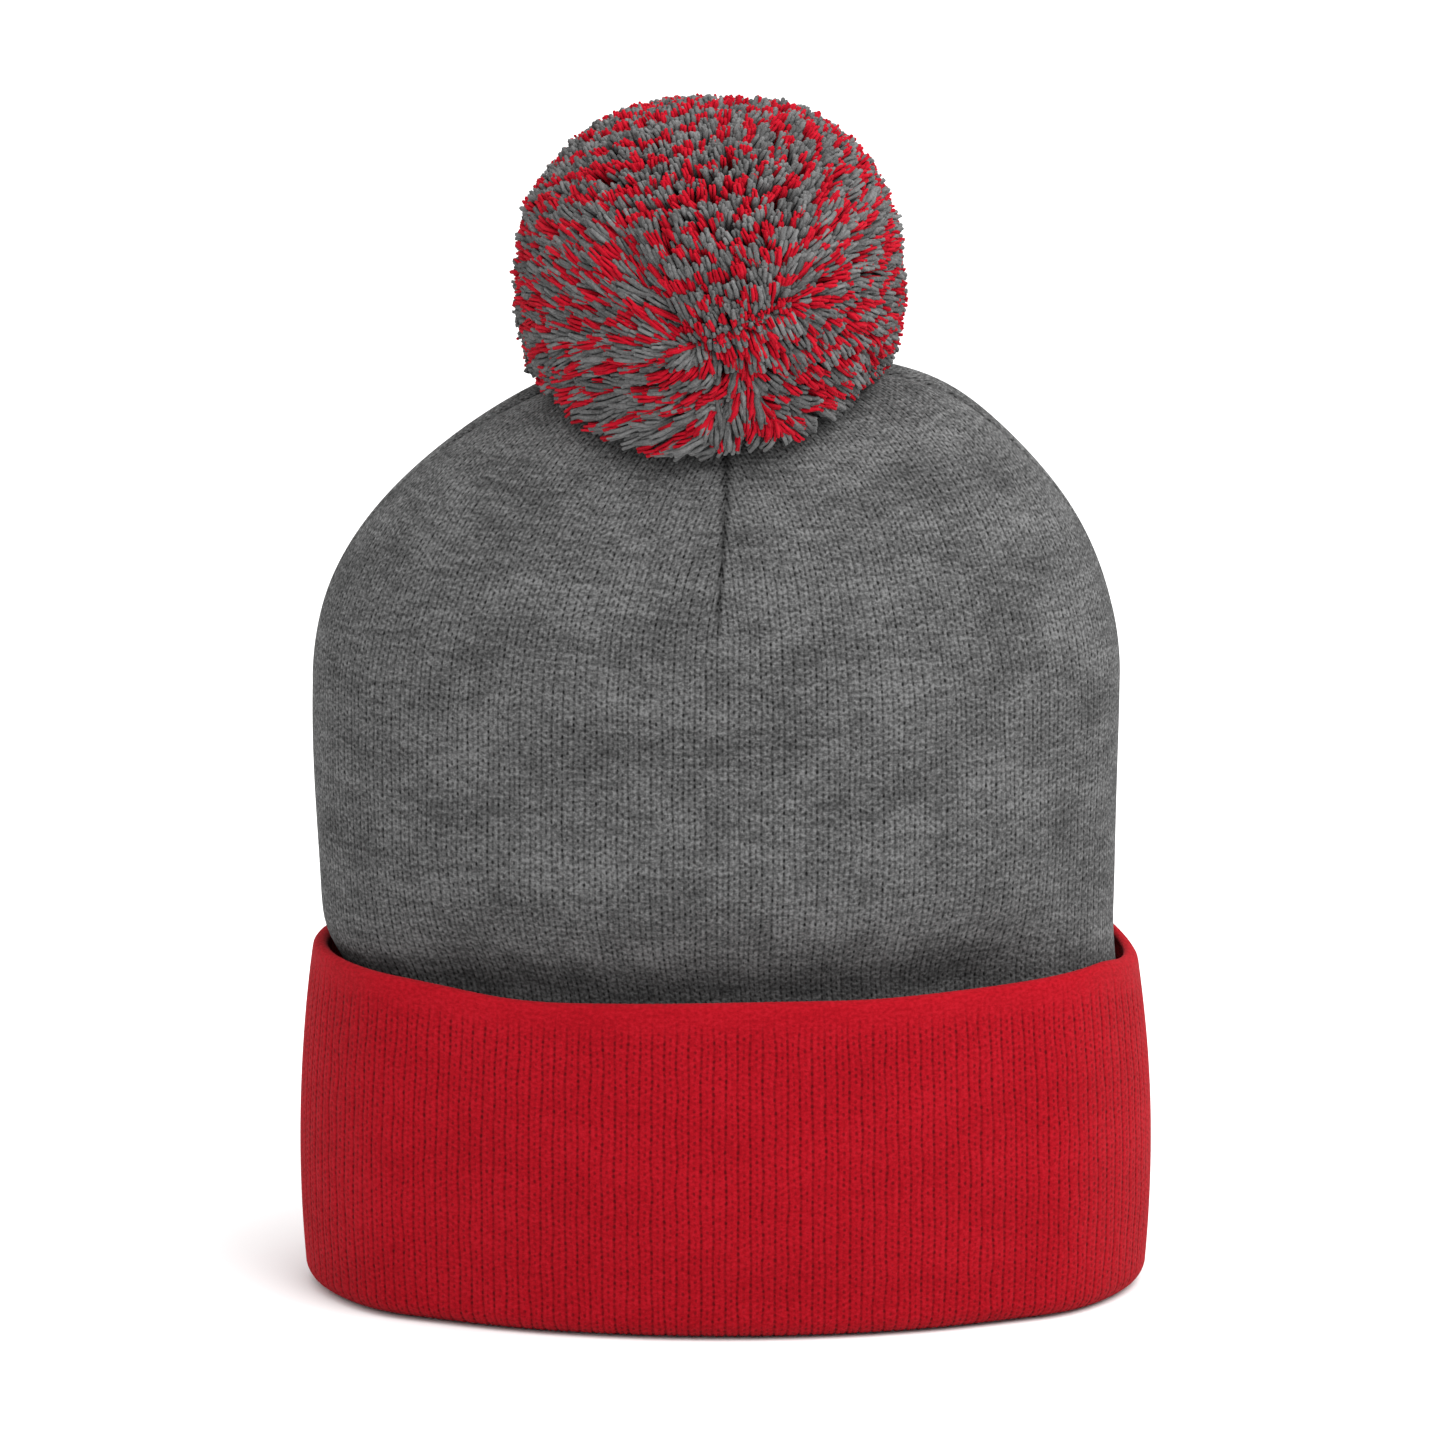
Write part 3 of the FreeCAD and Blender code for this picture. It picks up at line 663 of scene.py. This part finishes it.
def satin_material(name, dark, light, rib):
    """Woven ribbon: fine ribs across it and a soft gloss."""
    made, tree, shader = material(name, light, 0.38)
    place = node(tree, "ShaderNodeUVMap", {"uv_map": "stitch"}).outputs["UV"]
    ribs = node(
        tree, "ShaderNodeTexWave", {"bands_direction": "Y"},
        Vector=place, Scale=2 * math.pi / (20 * rib), Distortion=0.6, Detail=1.0,
    ).outputs["Fac"]
    cloudy = node(tree, "ShaderNodeTexNoise", Vector=place, Scale=0.4 / rib, Detail=3.0).outputs["Fac"]
    mottle = maths(tree, "MULTIPLY_ADD", cloudy, 0.5, maths(tree, "MULTIPLY", ribs, 0.5))
    colour = colour_steps(tree, mottle, [(0.2, dark), (0.7, light)])
    tree.links.new(colour, shader.inputs["Base Color"])
    raise_surface(tree, shader, ribs, 0.4, 0.1 * MM)
    shader.inputs["Sheen Weight"].default_value = 0.2
    return made


def set_material(piece, made):
    piece.data.materials.clear()
    piece.data.materials.append(made)


def grey(value):
    return (value, value, value)


GREY_KNIT = knit_material(
    "grey_knit", grey(0.038), grey(0.082), grey(0.155),
    streak=0.3, hole=0.62, groove=0.15, deepest=0.08,
)
RED_KNIT = knit_material(
    "red_knit", (0.23, 0.0014, 0.0055), (0.28, 0.0024, 0.0075), (0.33, 0.0045, 0.0115),
    streak=0.2, hole=0.42, groove=0.22, deepest=0.35, plain_courses=9.0,
)
GREY_YARN = yarn_material("grey_yarn", grey(0.06), grey(0.11), grey(0.17))
RED_YARN = yarn_material("red_yarn", (0.29, 0.0025, 0.010), (0.38, 0.0045, 0.015), (0.45, 0.008, 0.021))
GREY_THREAD = twisted_material("grey_thread", grey(0.05), grey(0.16), 0.5 * MM)
RED_THREAD = twisted_material("red_thread", (0.22, 0.002, 0.006), (0.45, 0.008, 0.02), 0.5 * MM)
TIE_CORD = twisted_material("tie_cord", grey(0.04), grey(0.17), 0.9 * MM)
LABEL_SATIN = satin_material("label_satin", (0.62, 0.62, 0.60), (0.86, 0.86, 0.84), 0.35 * MM)


# ---- pieces

def make_crown():
    crown = crown_layer(
        "crown_knit", 0.0,
        row_distances((WALL_FOOT, 10), (TUCK_LOW, 100)),
        row_distances((WALL_FOOT, 8), (TUCK_LOW, 12), (TUCK_HIGH, 10)),
        outer_seen=True,
    )
    set_material(crown, GREY_KNIT)
    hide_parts("outer_shell")
    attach(crown, "crown")


def make_lining():
    lining = crown_layer(
        "lining_knit", LINING_INSET,
        row_distances((WALL_FOOT, 14), (TUCK_LOW, 16), (TUCK_HIGH, 32)),
        row_distances((WALL_FOOT, 9), (TUCK_LOW, 14), (TUCK_HIGH, 10)),
        outer_seen=False,
    )
    set_material(lining, RED_KNIT)
    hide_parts("lining")
    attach(lining, "crown")


def make_cuff():
    face = cuff_ring("cuff_knit_face", face_outline(), 4)
    back = cuff_ring("cuff_knit_back", back_outline(), 2)
    for piece, replaced in ((face, "cuff_face_layer"), (back, "cuff_back_layer")):
        set_material(piece, RED_KNIT)
        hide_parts(replaced)
        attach(piece, "cuff")


def tube(route, radius, sides, closed, upright):
    """Points and faces of a tube along a route, which never runs in the upright direction."""
    route = np.asarray(route)
    count = len(route)
    if closed:
        along = np.roll(route, -1, axis=0) - np.roll(route, 1, axis=0)
    else:
        along = np.gradient(route, axis=0)
    along /= np.linalg.norm(along, axis=1)[:, None]
    side = np.cross(along, np.asarray(upright))
    side /= np.linalg.norm(side, axis=1)[:, None]
    other = np.cross(side, along)
    turns = 2 * math.pi * np.arange(sides) / sides
    points = route[:, None] + radius * (
        side[:, None] * np.cos(turns)[:, None] + other[:, None] * np.sin(turns)[:, None]
    )
    numbers = np.arange(count * sides).reshape(count, sides)
    numbers = np.pad(numbers, ((0, int(closed)), (0, 1)), mode="wrap")
    faces = quads(numbers.T).tolist()
    if not closed:
        faces.append(tuple(range(sides)))
        faces.append(tuple(reversed(range((count - 1) * sides, count * sides))))
    return list(points.reshape(-1, 3)), faces


def make_knot():
    """The tie's knot under the crown's middle: an overhand knot, drawn tight, with two cut ends."""
    centre = np.array((KNOT_LOW + KNOT_HIGH) / 2)
    half_width = (KNOT_HIGH[0] - KNOT_LOW[0]) / 2
    half_height = (KNOT_HIGH[2] - KNOT_LOW[2]) / 2
    thickness = 1.05 * MM
    turns = np.linspace(0.0, 2 * math.pi, 97)[:-1]
    reach = (half_width - thickness) / 3.0
    loop = np.stack([
        reach * (2.0 + np.cos(3 * turns)) * np.cos(2 * turns),
        reach * (2.0 + np.cos(3 * turns)) * np.sin(2 * turns),
        (half_height - thickness) * np.sin(3 * turns),
    ], axis=1) + centre
    points, faces = tube(loop, thickness, 12, True, (0.0, 0.0, 1.0))
    for side in (-1.0, 1.0):
        share = np.linspace(0.0, 1.0, 9)
        end = np.stack([
            side * (0.9 + 2.6 * share ** 1.5) * MM,
            side * (0.6 - 1.1 * share) * MM,
            -(0.3 + 6.0 * share) * MM,
        ], axis=1) + centre
        more, more_faces = tube(end, thickness * 0.85, 12, False, (1.0, 0.0, 0.0))
        faces += [tuple(corner + len(points) for corner in face) for face in more_faces]
        points += more
    knot = new_mesh("pompom_knot_cord", points, faces)
    set_material(knot, TIE_CORD)
    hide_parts("pompom_knot")
    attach(knot, "crown")


def make_label():
    """A blank care label, tacked at its upper corners and hanging down the lining."""
    width = LABEL_HIGH[0] - LABEL_LOW[0]
    height = LABEL_HIGH[2] - LABEL_LOW[2]
    thickness = 0.3 * MM
    columns, rows = 26, 38
    across = np.linspace(-0.5, 0.5, columns + 1)
    down = np.linspace(0.0, 1.0, rows + 1)
    middle = (LABEL_LOW[1] + LABEL_HIGH[1]) / 2
    level, place = np.meshgrid(down, across, indexing="ij")
    curl = 1.5 * MM * level ** 2 * np.abs(2 * place) ** 3 + 0.9 * MM * level ** 4
    curl += 0.25 * MM * np.sin(5.0 * level + 3.0 * place) * level
    x = place * width * (1.0 - 0.01 * level)
    z = LABEL_HIGH[2] - level * height * 0.995
    sheets = []
    for side in (-1, 1):
        y = middle - curl + side * thickness / 2
        sheets.append(np.stack([x, y, z], axis=-1).reshape(-1, 3))
    count = len(sheets[0])
    number = np.arange(count).reshape(rows + 1, columns + 1)
    faces = [*quads(number.T), *(quads(number.T, turned=True) + count)]
    edge = np.concatenate((number[0, :-1], number[:-1, -1], number[-1, :0:-1], number[:0:-1, 0]))
    for first, second in zip(edge, np.roll(edge, -1)):
        faces.append((first, second, second + count, first + count))
    points = np.concatenate(sheets)
    stitch = [(points[corner][0], points[corner][2]) for face in faces for corner in face]
    label = new_mesh("care_label_ribbon", points, faces, stitch)
    set_material(label, LABEL_SATIN)
    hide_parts("care_label")
    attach(label, "crown")


def finish_small_parts():
    """Thread and cord materials on the stitches, seams and tie."""
    for name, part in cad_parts.items():
        if "apex_stitch" in name or "seam_thread" in name:
            set_material(part, GREY_THREAD if name.startswith("crown") else RED_THREAD)
        elif name.startswith("label_stitch"):
            set_material(part, RED_THREAD)
        elif name.startswith("pompom_tie"):
            set_material(part, TIE_CORD)


# ---- the ball of yarn

BALL_CENTRE = Vector((POM_LEAN, -0.5 * MM, 228.3 * MM))
BALL_HALF = Vector((42.2 * MM, 41.5 * MM, 38.3 * MM))
CORE_RADIUS = 36.5 * MM
SQUARENESS = (2.3, 2.6)  # of the upper and lower half; 2 is an ellipse
COMB_TILT = math.radians(14.0)
COMB_FRONT = Vector((0.0, -math.cos(COMB_TILT), math.sin(COMB_TILT)))
COMB_UP = Vector((0.0, math.sin(COMB_TILT), math.cos(COMB_TILT)))
PARTING = (Vector((-0.08, -0.42)), Vector((0.44, -0.17)))  # its ends, across and up the front
CREASE = (Vector((-0.085, -0.98, -0.165)), Vector((-0.48, -0.76, 0.43)))
SEAT_CENTRE = Vector((0.0, 0.0, 166.5 * MM))
SEAT_HALF = Vector((200 * MM, 60 * MM, 50 * MM))
# The strands clear this ellipsoid over the crown, so the ball has room to flop.
CLEAR_CENTRE = Vector((0.0, 0.0, DOME_FOOT))
CLEAR_HALF = Vector((SHELL_HIGH[0], SHELL_HIGH[1], DOME_RISE + CROWN_FULLNESS)) + Vector((2, 5, 2)) * MM
GREY_STRANDS = 4050
RED_STRANDS = 2950
FIBRES = 3  # in each strand


def nearest_on(place, ends):
    """The nearest point of the short line between two points."""
    first, second = ends
    line = second - first
    share = min(max((place - first).dot(line) / line.length_squared, 0.0), 1.0)
    return first + line * share


def reach_to_ellipsoid(direction, centre, half):
    """Distance from the ball's centre to an ellipsoid under it, or a metre where the ray misses."""
    scale = Vector((1 / half[0], 1 / half[1], 1 / half[2]))
    offset = (BALL_CENTRE - centre) * scale
    slope = direction * scale
    a = slope.length_squared
    b = offset.dot(slope)
    c = offset.length_squared - 1.0
    inside = b * b - a * c
    if inside < 0.0:
        return 1.0
    distance = (-b - math.sqrt(inside)) / a
    return distance if distance > 0.0 else 1.0


def strand_direction(number, count, source):
    """Evenly spread directions, a little disordered."""
    height = 1.0 - 2.0 * (number + 0.5) / count
    turn = number * math.pi * (3.0 - math.sqrt(5.0))
    level = math.sqrt(max(0.0, 1.0 - height * height))
    spread = 0.4 * math.sqrt(4 * math.pi / count)
    jog = Vector(source.normal(0.0, spread, 3))
    return (Vector((level * math.cos(turn), level * math.sin(turn), height)) + jog).normalized()


def combed(direction):
    """Where a strand's root lies from its tip, how far the parting is, and how squarely it faces.

    The strands are combed away from a short parting on the front of the ball, and away
    from the same parting turned about, on its back.
    """
    side = 1.0 if direction.dot(COMB_FRONT) > 0.0 else -1.0
    facing = abs(direction.dot(COMB_FRONT))
    place = Vector((direction.x * side, direction.dot(COMB_UP)))
    to_parting = nearest_on(place, PARTING) - place
    away = to_parting.length
    # Under the parting they lie sideways, to one side and the other of a few that hang down.
    sway = 0.15 - place.x + 0.4 * noise.noise(direction * 4.0 + Vector((2.0, 8.0, 5.0)))
    across = min(max(sway / 0.25, -1.0), 1.0)
    sideways = Vector((across, 0.3 * noise.noise(direction * 6.0) + 0.7 * (1.0 - abs(across))))
    if away > 1e-5:
        to_parting = to_parting.normalized().lerp(sideways, float(smooth_step(0.45, 0.62, -place.y)))
    toward = Vector((to_parting.x * side, 0.0, 0.0)) + COMB_UP * to_parting.y
    toward -= COMB_FRONT * side * toward.dot(direction) / max(facing, 0.15)
    toward -= direction * toward.dot(direction)
    if toward.length < 1e-5:
        toward = direction.orthogonal()
    return toward.normalized(), away, facing


def yarn_strand(direction, source, lift):
    """Points from root to tip of one strand."""
    toward, away, facing = combed(direction)
    # Long combed strands on the left, short tufts on top, tumbled ones below.
    left = float(smooth_step(0.0, 0.45, -direction.x)) * float(smooth_step(-0.85, -0.3, -direction.z))
    top = float(smooth_step(0.3, 0.75, direction.z))
    low = float(smooth_step(0.15, 0.6, -direction.z))
    length = (7.0 + 4.5 * left) * (1.0 - 0.6 * top) * MM * source.uniform(0.75, 1.25)
    swell = noise.noise(direction * 3.1 + Vector((3.0, 1.0, 7.0)))
    lumps = noise.noise(direction * 8.0 + Vector((1.0, 5.0, 2.0)))
    turn = 0.35 * swell + source.normal(0.0, 0.14) + (1.0 * top + 0.5 * low) * lumps
    toward = Quaternion(direction, turn) @ toward

    level = math.hypot(direction.x / BALL_HALF.x, direction.y / BALL_HALF.y)
    high = abs(direction.z) / BALL_HALF.z
    power = SQUARENESS[0] if direction.z > 0.0 else SQUARENESS[1]
    surface = (level ** power + high ** power) ** (-1.0 / power)
    tip = surface + (0.9 * swell + 0.8 * lumps + source.normal(0.0, 0.4) + lift) * MM
    tip += 2.6 * MM * hill(direction.angle(Vector((0.5, -0.1, 0.85))), 0.35)
    tip += 1.2 * MM * hill(direction.angle(Vector((-0.3, -0.1, 0.95))), 0.3)
    tip -= 3.0 * MM * hill(direction.angle(nearest_on(direction, CREASE)), 0.075)
    tip -= 1.4 * MM * hill(away, 0.1)
    tip = min(tip, surface + 2.6 * MM)
    # The ball sags over the crown in front and behind.
    flat_side = abs(direction.y) / max(math.hypot(direction.x, direction.y), 1e-6)
    tip += 6.0 * MM * float(smooth_step(0.42, 0.72, -direction.z) * smooth_step(0.25, 0.8, flat_side))
    seat = reach_to_ellipsoid(direction, SEAT_CENTRE, SEAT_HALF)
    crown = reach_to_ellipsoid(direction, CLEAR_CENTRE, CLEAR_HALF)
    # The lowest strands hang over the crown's slopes, and those above its top end at the ball's hollow.
    if seat < tip:
        reach = min(tip, crown)
        tip = reach if reach > surface - 7 * MM else seat - 0.4 * MM
    depth = max(9.0 * MM - 0.35 * length, 4.5 * MM)
    lean = min(length / surface, away * 0.9 + 0.05)
    lean *= 0.45 + 0.55 * float(smooth_step(0.05, 0.5, facing))
    points = []
    for share in STRAND_SHARES:
        angle = lean * (1.0 - share)
        ray = direction * math.cos(angle) + toward * math.sin(angle)
        points.append(BALL_CENTRE + ray * (tip - depth * (1.0 - share) ** 1.6))
    return points


STRAND_SHARES = (0.0, 0.4, 0.75, 1.0)
STRAND_WIDTHS = (0.85, 1.0, 1.05, 0.8)
STRAND_SIDES = 4


def add_strand(bunch, points, radius, source):
    """Add one strand to a bunch: a few fibres twisted round each other, cut unevenly."""
    frame_side = (points[1] - points[0]).orthogonal().normalized()
    shade = source.uniform(0.0, 1.0)
    start = source.uniform(0.0, 2 * math.pi)
    cuts = source.uniform(-0.7, 0.4, FIBRES) * MM
    uneven = source.uniform(0.85, 1.15, (FIBRES, len(points), STRAND_SIDES))
    for fibre in range(FIBRES):
        base = len(bunch["points"])
        for ring, (point, width) in enumerate(zip(points, STRAND_WIDTHS)):
            after = points[min(ring + 1, len(points) - 1)]
            before = points[max(ring - 1, 0)]
            along = (after - before).normalized()
            side = (frame_side - along * frame_side.dot(along)).normalized()
            other = along.cross(side)
            share = STRAND_SHARES[ring]
            around = start + 2 * math.pi * fibre / FIBRES + 1.6 * share
            spread = radius * (0.7 + 0.4 * share)
            centre = point + (side * math.cos(around) + other * math.sin(around)) * spread
            if ring == len(points) - 1:
                centre = centre + along * cuts[fibre]
            for corner in range(STRAND_SIDES):
                angle = 2 * math.pi * corner / STRAND_SIDES + around
                out = radius * width * uneven[fibre, ring, corner]
                corner_side = side * math.cos(angle) + other * math.sin(angle)
                bunch["points"].append(centre + corner_side * out)
            # The share along the strand, which the yarn's colour turns into painted shade towards the
            # root.
            bunch["along"] += [share] * STRAND_SIDES
        for ring in range(len(points) - 1):
            low = base + ring * STRAND_SIDES
            high = low + STRAND_SIDES
            for corner in range(STRAND_SIDES):
                beside = (corner + 1) % STRAND_SIDES
                bunch["faces"].append((low + corner, low + beside, high + beside, high + corner))
        last = base + (len(points) - 1) * STRAND_SIDES
        bunch["points"].append(centre + along * radius * 0.5)
        bunch["along"].append(1.0)
        top = len(bunch["points"]) - 1
        bunch["shade"] += [shade] * (top + 1 - base)
        for corner in range(STRAND_SIDES):
            bunch["faces"].append((last + corner, last + (corner + 1) % STRAND_SIDES, top))
        bunch["faces"].append(tuple(base + corner for corner in reversed(range(STRAND_SIDES))))


def make_core():
    """The dense middle of the ball, dark between the strands, hollowed over the crown."""
    points = []
    rows, columns = 32, 48
    for row in range(rows + 1):
        height = math.pi * row / rows
        for column in range(columns if 0 < row < rows else 1):
            turn = 2 * math.pi * column / columns
            direction = Vector(
                (math.sin(height) * math.cos(turn), math.sin(height) * math.sin(turn), math.cos(height))
            )
            radius = CORE_RADIUS + 1.5 * MM * noise.noise(direction * 9.0)
            seat = reach_to_ellipsoid(direction, SEAT_CENTRE, SEAT_HALF)
            points.append(BALL_CENTRE + direction * min(radius, seat - MM))
    numbers = 1 + np.arange((rows - 1) * columns).reshape(rows - 1, columns)
    numbers = np.pad(numbers, ((0, 0), (0, 1)), mode="wrap")
    faces = quads(numbers.T).tolist()
    last = len(points) - 1
    for column in range(columns):
        faces.append((0, numbers[0, column], numbers[0, column + 1]))
        faces.append((last, numbers[-1, column + 1], numbers[-1, column]))
    # The core's along of 0.9 leaves it without the yarn's painted root shade.
    core = new_mesh("pompom_core", points, faces, shading={"along": [0.9] * len(points)})
    set_material(core, GREY_YARN)
    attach(core, "pompom")


def make_pompom():
    """Strands of both colours, as a front and a back half of the ball."""
    source = np.random.default_rng(20)
    parts = ("points", "faces", "shade", "along")
    bunches = {}
    count = GREY_STRANDS + RED_STRANDS
    share = RED_STRANDS / count
    for number in range(count):
        direction = strand_direction(number, count, source)
        patch = noise.noise(direction * 6.0 + Vector((9.0, 4.0, 1.0)))
        mixed = (number * math.sqrt(2.0)) % 1.0 + source.normal(0.0, 0.12)
        red = mixed < share + 0.3 * patch
        points = yarn_strand(direction, source, 0.3 if red else 0.0)
        colour = "red" if red else "grey"
        side = "front" if direction.y < 0.0 else "back"
        bunch = bunches.setdefault((colour, side), {part: [] for part in parts})
        radius = (0.47 if red else 0.62) * MM * source.uniform(0.85, 1.15)
        add_strand(bunch, points, radius, source)
    for (colour, side), bunch in bunches.items():
        piece = new_mesh(
            f"pompom_{colour}_strands_{side}", bunch["points"], bunch["faces"],
            shading={"shade": bunch["shade"], "along": bunch["along"]},
        )
        set_material(piece, RED_YARN if colour == "red" else GREY_YARN)
        bundles = (1, 2) if side == "front" else (3, 4)
        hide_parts(*(f"pompom_{colour}_bundle_{bundle}" for bundle in bundles))
        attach(piece, "pompom")


make_crown()
make_lining()
make_cuff()
make_knot()
make_label()
make_core()
make_pompom()
finish_small_parts()

# ---- floor, light and camera

FLOOR_HALF = 25.0
FLOOR_LEVEL = -0.2 * MM
SKY_AT_HORIZON = 0.54
SKY_OVERHEAD = 1.78
CAMERA_DISTANCE = 7.0
CAMERA_ELEVATION = math.radians(14.0)
CAMERA_TARGET = Vector((-0.0007, 0.0, 0.1268))
SEEN_WIDTH = 0.3197  # of the picture, at the target
KEY_PLACE = Vector((1.4, -0.95, 2.5))
KEY_TARGET = Vector((0.0, 0.0, 0.12))
KEY_SIZE = 2.6
KEY_POWER = 98.0


def aim(thing, place, target):
    """Put a camera or light in the scene, facing its target."""
    thing.location = place
    thing.rotation_euler = (target - place).to_track_quat("-Z", "Y").to_euler()
    bpy.context.scene.collection.objects.link(thing)


def make_stage():
    corners = ((-1, -1), (1, -1), (1, 1), (-1, 1))
    points = [(x * FLOOR_HALF, y * FLOOR_HALF, FLOOR_LEVEL) for x, y in corners]
    floor = new_mesh("floor", points, [(0, 1, 2, 3)])
    set_material(floor, material("floor_white", grey(0.82), 0.9)[0])
    # The hat stands on its cuff, so the floor stays under the cuff when it turns down.
    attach(floor, "cuff")
    world = bpy.data.worlds.new("studio")
    world.use_nodes = True
    # A soft white room, brighter overhead, and plain white beyond the floor's edge.
    sky = world.node_tree
    direction = node(sky, "ShaderNodeTexCoord").outputs["Generated"]
    upward = node(sky, "ShaderNodeSeparateXYZ", Vector=direction).outputs["Z"]
    strength = ranged(sky, upward, 0.0, 1.0, SKY_AT_HORIZON, SKY_OVERHEAD, "LINEAR")
    sky.nodes["Background"].inputs["Color"].default_value = (1.0, 1.0, 1.0, 1.0)
    beyond = ranged(sky, upward, 0.0, 0.02, 1.1, 0.0, "LINEAR")
    brighter = maths(sky, "MAXIMUM", strength, beyond)
    sky.links.new(brighter, sky.nodes["Background"].inputs["Strength"])
    bpy.context.scene.world = world


def make_camera():
    """A far camera, a little above the hat."""
    lens = bpy.data.cameras.new("camera")
    lens.sensor_width = 36.0
    lens.lens = lens.sensor_width * CAMERA_DISTANCE / SEEN_WIDTH
    lens.clip_end = 2 * FLOOR_HALF
    camera = bpy.data.objects.new("camera", lens)
    back = Vector((0.0, -math.cos(CAMERA_ELEVATION), math.sin(CAMERA_ELEVATION))) * CAMERA_DISTANCE
    aim(camera, CAMERA_TARGET + back, CAMERA_TARGET)
    bpy.context.scene.camera = camera


def make_key_light():
    """One large soft light, high on the right in front."""
    light = bpy.data.lights.new("key", "AREA")
    light.size = KEY_SIZE
    light.energy = KEY_POWER
    aim(bpy.data.objects.new("key", light), KEY_PLACE, KEY_TARGET)


make_stage()
make_camera()
make_key_light()
bpy.context.scene.view_settings.view_transform = "Standard"
